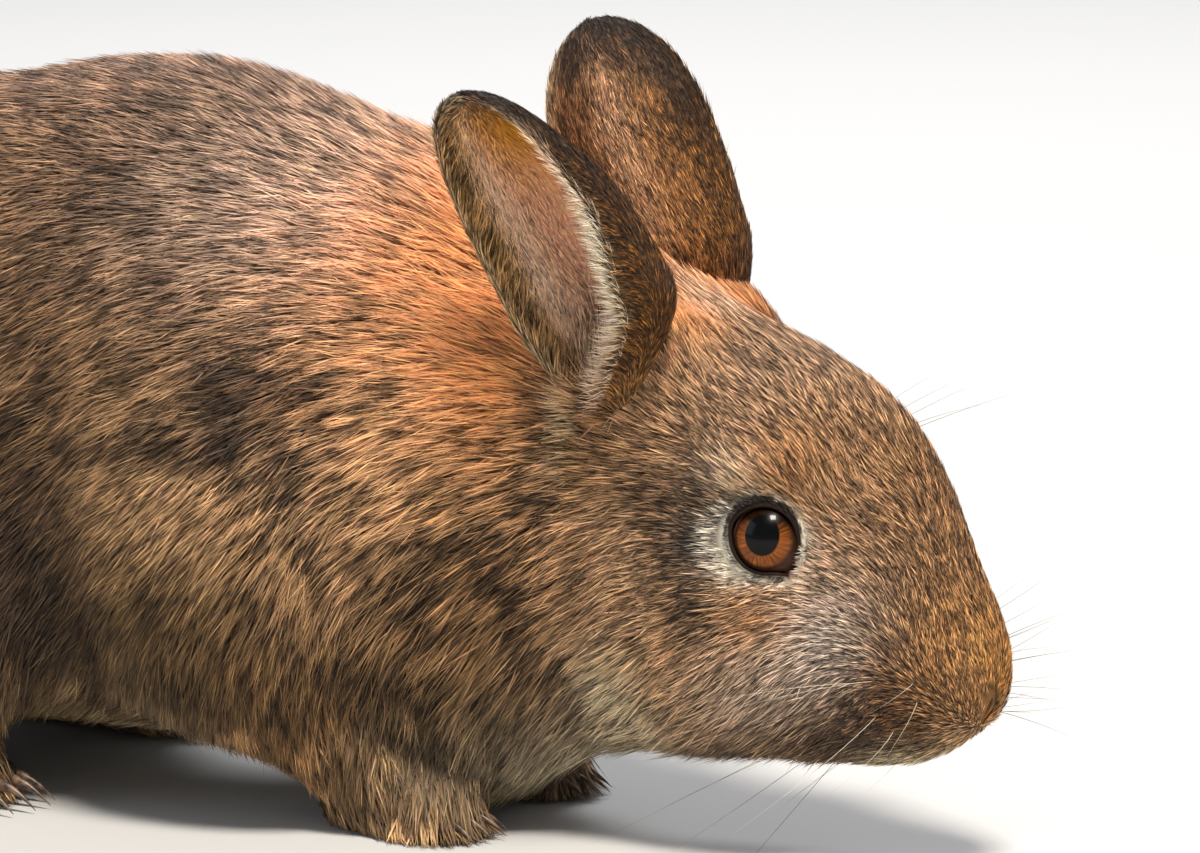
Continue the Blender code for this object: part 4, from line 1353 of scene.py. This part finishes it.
tipped = mixed(nodes, links, times(nodes, links, near_tip, given["Ticked"]), banded, DARK_TIP)
links.new(tipped, leave.inputs["Colour"])
print("steps in the group:", len(nodes))

# %% [markdown]
# ## Fur and the skin below it
# Fur is soft and almost without shine, so the coat is rough, with a trace of sheen. The skin shows
# the same markings, darkened where hair shades it, under a fine mottle. A little light goes through
# it, as in the thin ears.

# %% Coat and skin materials
coat_material, nodes, links, shader = material("coat", paint(*PLAIN_COAT))
hair_group = node(nodes, "Group", node_tree=ticked_hair)
links.new(attribute(nodes, "Tone"), hair_group.inputs["Tone"])
for label in ("Along", "Ticked", "Slate"):
    links.new(attribute(nodes, label, "Fac"), hair_group.inputs[label])
links.new(hair_group.outputs["Colour"], shader.inputs["Base Color"])
set_values(shader, Roughness=0.62, Specular_IOR_Level=0.22, Sheen_Weight=0.06, Sheen_Roughness=0.5)

skin_material, nodes, links, shader = material("skin", paint(150, 112, 86))
place = node(nodes, "TexCoord").outputs["Object"]
grain = noise(nodes, links, place, Scale=260.0, Detail=4.0)
mottle = ramp(nodes, links, grain, (0.40, 0.82), (0.60, 1.06))
skin_tone = mixed(nodes, links, 1.0, attribute(nodes, "Tone"), mottle, "MULTIPLY")
links.new(skin_tone, shader.inputs["Base Color"])
set_values(shader, Roughness=0.6, Specular_IOR_Level=0.15)
set_values(shader, Subsurface_Weight=0.3, Subsurface_Radius=(1.0, 0.35, 0.16), Subsurface_Scale=4 * MM)
pores = node(nodes, "Bump")
set_values(pores, Strength=0.25, Distance=0.4 * MM)
links.new(grain, pores.inputs["Height"])
links.new(pores.outputs["Normal"], shader.inputs["Normal"])

under_coat = np.where(is_ear & (ear_inner > 0), 0.95, np.clip(0.98 - 1.4 * ticks, 0.42, 0.98))
own_colours(skin.data, "Tone", tone * np.where(bare > 0.5, 1.0, under_coat)[:, None])
skin.data.materials.clear()
skin.data.materials.append(skin_material)
skin.data.shade_smooth()
for piece, _ in coats:
    piece.data.materials.append(coat_material)
print("the skin below the coat keeps", under_coat.mean().round(2), "of its brightness")

# %% [markdown]
# ## Eyes
# The eyeball bulges a little where the clear cornea is. That could be a second, clear shell, but at
# this size a glossy coat over the colours looks the same. Each vertex keeps its place across the
# gaze in iris radii, and the nodes work out the rings from it.

# %% Eyeballs
IRIS = 6.6 * MM
CORNEA = 0.30 * MM
EYE_INSET = 0.12 * MM


def eyeball(side_name):
    """A ball of rings round the gaze, 64 by 40, raised by 0.3 mm at the cornea."""
    centre, gaze, forward, upward = eye_frame(side_name)
    angle = np.linspace(0, 2 * math.pi, 64, endpoint=False)
    polar = np.concatenate([[0.012], np.linspace(0.05, math.pi - 0.05, 38), [math.pi - 0.012]])[:, None]
    bulge = CORNEA * np.clip(1 - (np.sin(polar) * EYE_RADIUS / IRIS) ** 2, 0, 1) * (polar < 1.5)
    radius = EYE_RADIUS - EYE_INSET + bulge
    outward = across_gaze(angle, side_name)
    ray = np.cos(polar)[..., None] * gaze + np.sin(polar)[..., None] * outward[None]
    ball = surface("eyeball_" + side_name, centre + radius[..., None] * ray, caps=BOTH_ENDS)
    merged(ball, MERGE)
    ray = points_of(ball.data) - centre
    place = np.stack([ray @ forward / IRIS, ray @ upward / IRIS, ray @ gaze / EYE_RADIUS], 1)
    layer = ball.data.attributes.new("Gaze", "FLOAT_VECTOR", "POINT")
    layer.data.foreach_set("vector", place.astype(np.float32).ravel())
    return ball


eyeballs = {side_name: eyeball(side_name) for side_name in SIDES}
print("eyeballs:", [len(ball.data.polygons) for ball in eyeballs.values()], "faces")

# %% [markdown]
# ## Colours of the eye
# They lie in rings round the gaze: a black pupil, an amber iris of fine radial fibres, and a dark
# edge. A picture of an iris could be laid on, but noise that is stretched outwards gives fibres of
# any fineness. The upper lid's shadow is painted in, and the wet surface is a thin clear coat.

# %% Iris, pupil and shine
eye_material, nodes, links, shader = material("eye", paint(150, 90, 40))
place = attribute(nodes, "Gaze", "Vector")
flat_place = along_vector(nodes, links, "MULTIPLY", place, (1, 1, 0))
from_middle = along_vector(nodes, links, "LENGTH", flat_place)
way_round = along_vector(nodes, links, "NORMALIZE", flat_place)
spread_out = along_vector(nodes, links, "SCALE", way_round, scale=9.0)
stretched = along_vector(nodes, links, "MULTIPLY_ADD", flat_place, (0.8, 0.8, 0.8), spread_out)
fibres = noise(nodes, links, stretched, Scale=1.6, Detail=6.0, Roughness=0.7)
browns = ((0.30, paint(54, 26, 12)), (0.50, paint(134, 72, 26)), (0.68, paint(206, 124, 44)))
amber = ramp(nodes, links, fibres, *browns)
edge = ramp(nodes, links, from_middle, (0.80, 0.0), (0.97, 1.0))
iris = mixed(nodes, links, edge, amber, paint(58, 34, 22))
tall = along_vector(nodes, links, "MULTIPLY_ADD", place, (1.12, 0.98, 0), (0, -0.13, 0))
pupil = ramp(nodes, links, along_vector(nodes, links, "LENGTH", tall), (0.61, 0.0), (0.66, 1.0))
rings = mixed(nodes, links, pupil, (0.002, 0.002, 0.002, 1), iris)
height_in_eye = node(nodes, "SeparateXYZ")
links.new(place, height_in_eye.inputs[0])
lid_shade = ramp(nodes, links, height_in_eye.outputs["Y"], (-0.05, 1.0), (0.32, 0.5), (0.66, 0.05))
shaded = mixed(nodes, links, 1.0, rings, lid_shade, "MULTIPLY")
white = ramp(nodes, links, from_middle, (0.98, 0.0), (1.04, 1.0))
links.new(mixed(nodes, links, white, shaded, paint(70, 48, 38)), shader.inputs["Base Color"])
set_values(shader, Roughness=0.25, Specular_IOR_Level=0.1)
set_values(shader, Coat_Weight=0.8, Coat_IOR=1.2, Coat_Roughness=0.015)
for ball in eyeballs.values():
    ball.data.materials.append(eye_material)
print("steps in the eye's material:", len(nodes))

# %% [markdown]
# ## Whiskers, brow hairs and lashes
# A whisker is a stiff hair that tapers to nothing and sags a little. Curves with a thickness could
# make them, but the tufts' way suits them too: they are meshes of five-sided tubes along curves of
# the second degree, one for the hairs of the pad and the brow, and one for the lashes of the upper
# lid.

# %% Stiff hairs
RINGS, AROUND = 9, 5


def stiff_hairs(name, roots, ways, lengths, sags, widths, shades):
    """Tubes of nine rings: place = root + way s length + sag s^2, half width ~ 1 - s to the 1.3."""
    steps = np.linspace(0, 1, RINGS)
    line = roots[:, None] + ways[:, None] * (lengths[:, None] * steps)[..., None]
    line = line + sags[:, None] * (steps**2)[None, :, None]
    line[..., 2] = np.maximum(line[..., 2], 1.2 * MM)
    along = unit(np.gradient(line, axis=1))
    first = unit(np.cross(along, np.array([0.31, 0.17, 0.93])))
    second = np.cross(along, first)
    angle = np.linspace(0, 2 * math.pi, AROUND, endpoint=False)
    half = widths[:, None] / 2 * (1 - 0.93 * steps**1.3)
    ring = np.cos(angle)[:, None] * first[:, :, None] + np.sin(angle)[:, None] * second[:, :, None]
    places = line[:, :, None] + half[:, :, None, None] * ring
    count, per = len(roots), RINGS * AROUND
    quads = grid_quads(RINGS, AROUND, True)
    one = np.concatenate([quads.ravel(), np.arange(AROUND) + per - AROUND])
    corners = (np.arange(count)[:, None] * per + one[None]).ravel()
    sizes = np.tile(np.concatenate([np.full(len(quads), 4), [AROUND]]), count)
    mesh = mesh_from(name, places.reshape(-1, 3), corners, sizes)
    own_colours(mesh, "Tone", np.repeat(shades, per, axis=0))
    return object_of(name, mesh)


# %% Whiskers and brow hairs
PALE, DUSKY, STUBBLE = (linear(colour) for colour in ((226, 212, 190), (58, 42, 32), (36, 24, 18)))
ROWS, IN_ROW, STUBBLE_EACH, ON_BROW = 4, 5, 5, 5
chance = np.random.default_rng(77)
grown = []  # root, way, length, sag, width, colour


def grow(root, way, long, sag, wide, shade):
    """Notes one stiff hair, whose length and width come in millimetres."""
    grown.append((root, way, long * MM, sag, wide * MM, shade))


def pad_hair(side, row, place):
    """A whisker of the pad; on the right side they fan out and hang down, and some are pale."""
    forth = 171 - 3.8 * place + chance.normal(0, 0.4)
    root = at(forth, side * (11.5 + 0.9 * place), 43 - 3.4 * row - 0.7 * place)
    if side > 0:
        way = (0.62 - 0.06 * place, 0.74, 0.30 - 0.16 * row + chance.normal(0, 0.08))
        long = (26 + 3.5 * place) * chance.uniform(0.85, 1.1)
        grow(root, way, long, (-0.002, 0.002, 0.004 * chance.normal()), 0.17, DUSKY)
        return
    way = (0.40 - 0.22 * place, -0.80, 0.05 - 0.16 * row + chance.normal(0, 0.10))
    long = (20 + 7.0 * place) * chance.uniform(0.8, 1.1)
    sag = (-0.018 * chance.uniform(0.5, 1.2), 0.004, -0.012 * chance.uniform(0.3, 1))
    grow(root, way, long, sag, 0.14, PALE if chance.uniform() < 0.4 else DUSKY)


for side in SIDES.values():
    for row, place in np.ndindex(ROWS, IN_ROW):
        pad_hair(side, row, place)
    for bed in [hair_root[0] for hair_root in grown[-ROWS * IN_ROW:]]:
        for _ in range(STUBBLE_EACH):
            root = bed + np.array([chance.normal(0, 0.5), 0, chance.normal(0, 0.5)]) * MM
            way = (-0.6 + 0.3 * chance.normal(), side * 0.55, -0.4 + 0.3 * chance.normal())
            grow(root, way, 2.2, (0.0, 0.0, -0.0004), 0.30, STUBBLE)
    for turn in range(ON_BROW):
        root = at(136 + 3.4 * turn, side * (22 - 0.9 * turn), 84 + 0.7 * turn)
        long = 24 + 5 * chance.uniform()
        sag = (0.003, side * 0.002, -0.008 * chance.uniform())
        grow(root, (0.40 + 0.16 * turn, side * 0.45, 0.55), long, sag, 0.12, DUSKY)
roots, ways, *others = (np.array(column) for column in zip(*grown))
whiskers = stiff_hairs("whiskers", roots, unit(ways), *others)
print("whiskers, brow hairs and stubble:", len(grown))

# %% Lashes and their material
LASHES = 46  # on each upper lid
lash_roots, lash_ways = [], []
for side_name in SIDES:
    centre, gaze, forward, _ = eye_frame(side_name)
    angle = np.linspace(0.35, 2.9, LASHES)
    tilt = np.arcsin(np.clip((opening_reach(angle) + 0.25 * MM) / EYE_RADIUS, -1, 0.98))[:, None]
    outward = across_gaze(angle, side_name)
    lash_roots.append(centre + (EYE_RADIUS + 0.85 * MM) * (np.cos(tilt) * gaze + np.sin(tilt) * outward))
    lash_ways.append(unit(gaze * 0.8 + outward * 0.55 - forward * 0.25))
many = LASHES * len(SIDES)
lashes = stiff_hairs(
    "lashes",
    np.concatenate(lash_roots),
    np.concatenate(lash_ways),
    chance.uniform(2.0, 3.4, many) * MM,
    np.tile([-0.0006, 0.0, 0.0008], (many, 1)),
    np.full(many, 0.13 * MM),
    np.tile(linear((34, 24, 18)), (many, 1)),
)
whisker_material, nodes, links, shader = material("whisker", (*DUSKY, 1))
links.new(attribute(nodes, "Tone"), shader.inputs["Base Color"])
set_values(shader, Roughness=0.5, Specular_IOR_Level=0.2)
for hairs in (whiskers, lashes):
    hairs.data.materials.append(whisker_material)
print("lashes:", many)

# %% [markdown]
# ## Claws
# Each toe ends in a small curved claw that just shows through the fur. A cone could be bent with a
# modifier, but a formula gives the bend at once: a cone whose middle line curves down. Four show on
# each foot, as the fifth toe of a forefoot sits high in the fur.

# %% Claws
TOES = [  # front, inner side, height, gap, longest toe, how far the others stand back, splay, length, width
    (-31.5, 37, 5.6, 5.0, 1.4, 2.2, 0.06, 9, 3.0),  # hind foot
    (72.5, 18.5, 4.8, 4.0, 1.3, 2.0, 0.08, 7, 2.4),  # forefoot
]


def claw_places(base, forward_way, long, wide):
    """Rings of a bent cone: middle = base + way s long - 0.42 long s^2 downwards, width ~ 1 - s."""
    steps = np.linspace(0, 1, 8)[:, None]
    middle_line = base + np.asarray(forward_way) * steps * long + np.array([0, 0, -0.42]) * steps**2 * long
    angle = np.linspace(0, 2 * math.pi, 8, endpoint=False)
    side = unit(np.cross([0, 0, 1.0], forward_way))
    ring = np.cos(angle)[:, None] * side * 0.8 + np.sin(angle)[:, None] * np.array([0, 0, 1.0])
    places = middle_line[:, None] + (wide / 2 * (1 - 0.94 * steps))[..., None] * ring[None]
    places[..., 2] = np.maximum(places[..., 2], 0.5 * MM)
    return places


claw_parts = []
for side in SIDES.values():
    for front, inner, high, gap, longest, back, splay, long, wide in TOES:
        for toe in range(4):
            base = at(front - abs(toe - longest) * back, side * (inner + gap * toe), high)
            way_out = (1.0, side * splay * (toe - 1.5), -0.1)
            places = claw_places(base, way_out, long * MM, wide * MM)
            claw_parts.append(surface("claw", places, caps=BOTH_ENDS))
claws = merged(joined("claws", claw_parts), MERGE)
claw_material, nodes, links, shader = material("claw", paint(92, 72, 58))
streaks = noise(nodes, links, node(nodes, "TexCoord").outputs["Object"], Scale=500.0)
horn = ramp(nodes, links, streaks, (0.35, paint(66, 48, 38)), (0.65, paint(132, 106, 84)))
links.new(horn, shader.inputs["Base Color"])
set_values(shader, Roughness=0.35)
claws.data.materials.clear()
claws.data.materials.append(claw_material)
claws.data.shade_smooth()
print("claws:", len(claw_parts))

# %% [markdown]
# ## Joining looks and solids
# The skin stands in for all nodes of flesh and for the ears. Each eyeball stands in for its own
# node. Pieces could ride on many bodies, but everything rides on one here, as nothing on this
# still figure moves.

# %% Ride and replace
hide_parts(*[name for name in frame["nodes"] if not name.startswith("eye")])
for side_name, ball in eyeballs.items():
    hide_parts("eye_" + side_name)
slots = [(skin, "bare_skin"), (whiskers, "bare_skin"), (lashes, "bare_skin"), (claws, "claw_horn")]
slots += [(ball, "eye_gloss") for ball in eyeballs.values()]
for piece, slot in slots + coats:
    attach(piece, "root")
print("pieces on the one body:", len(slots + coats))

# %% [markdown]
# ## Floor
# The model stands on a plain pale floor, which isn't part of it. It is so large that its edge
# never shows, and rough so that it mirrors nothing.

# %% Floor
FLOOR_HALF = 6
floor_corners = [(-FLOOR_HALF, -FLOOR_HALF, 0), (FLOOR_HALF, -FLOOR_HALF, 0)]
floor_corners += [(FLOOR_HALF, FLOOR_HALF, 0), (-FLOOR_HALF, FLOOR_HALF, 0)]
floor_mesh = bpy.data.meshes.new("floor")
floor_mesh.from_pydata(floor_corners, [], [(0, 1, 2, 3)])
floor = object_of("floor", floor_mesh)
floor_material, nodes, links, shader = material("floor", paint(196, 194, 190))
set_values(shader, Base_Color=paint(206, 204, 200), Roughness=0.9)
floor_mesh.materials.append(floor_material)

# %% [markdown]
# ## Light
# Fur shows its lie under one main light that grazes it. A sun would draw hard shadows, so a warm
# key lamp of half a metre stands high up in front of the nose, on the right side. A cool fill comes
# from the rear on the right, and a rim light from the left lifts the back off the pale floor.

# %% Lamps and sky
SKY, SKY_STRENGTH = (0.80, 0.86, 0.95, 1), 0.34
LAMPS = {  # place, size, power, colour
    "key": ((0.62, -0.66, 1.95), 0.5, 58, (1.0, 0.95, 0.88)),
    "fill": ((-1.4, -1.3, 0.9), 1.2, 5, (0.86, 0.92, 1.0)),
    "rim": ((-0.5, 1.3, 1.4), 0.9, 24, (0.93, 0.95, 1.0)),
}
LIT = Vector(at(90, 0, 80))
world = bpy.data.worlds.new("studio")
bpy.context.scene.world = world
world.use_nodes = True
set_values(world.node_tree.nodes["Background"], Color=SKY, Strength=SKY_STRENGTH)


def placed(name, data, place, looks_back):
    """A lamp or camera at a place, turned so that its back points that way."""
    obj = object_of(name, data)
    obj.location = place
    obj.rotation_mode = "QUATERNION"
    obj.rotation_quaternion = (-looks_back).to_track_quat("-Z", "Y")
    return obj


for name, (place, size, power, colour) in LAMPS.items():
    lamp = bpy.data.lights.new(name, "AREA")
    lamp.size, lamp.energy, lamp.color = size, power, colour
    placed(name, lamp, place, Vector(place) - LIT)
print("lamps:", list(LAMPS))

# %% [markdown]
# ## Camera
# The camera looks down a little at the right side of the head, from 28 degrees in front of square
# on, so that the rump runs out of the picture on the left. The aim is worked out from the nose, so
# that it stays right if the rabbit's own frame moves.

# %% Camera
AZIMUTH, ELEVATION = math.radians(28), math.radians(10)
DISTANCE = 1.8
ACROSS = 0.252  # metres seen across the picture at the nose
NOSE_RIGHT, NOSE_DOWN = 1 / 3, 0.2404  # how far the nose lies from the middle, as shares of that
SENSOR = 36
level = Vector((math.sin(AZIMUTH), -math.cos(AZIMUTH), 0))
back = level * math.cos(ELEVATION) + Vector((0, 0, math.sin(ELEVATION)))
rightward = Vector((math.cos(AZIMUTH), math.sin(AZIMUTH), 0))
upwards = back.cross(rightward)
nose = Vector(at(185, 0, 34))
aim = nose - rightward * (ACROSS * NOSE_RIGHT) + upwards * (ACROSS * NOSE_DOWN)
lens = bpy.data.cameras.new("camera")
lens.sensor_width = SENSOR
lens.lens = SENSOR * DISTANCE / ACROSS
lens.clip_start = 0.05
bpy.context.scene.camera = placed("camera", lens, aim + back * DISTANCE, back)
bpy.context.scene.view_settings.view_transform = "Standard"
print("camera at", [round(value, 3) for value in aim + back * DISTANCE])
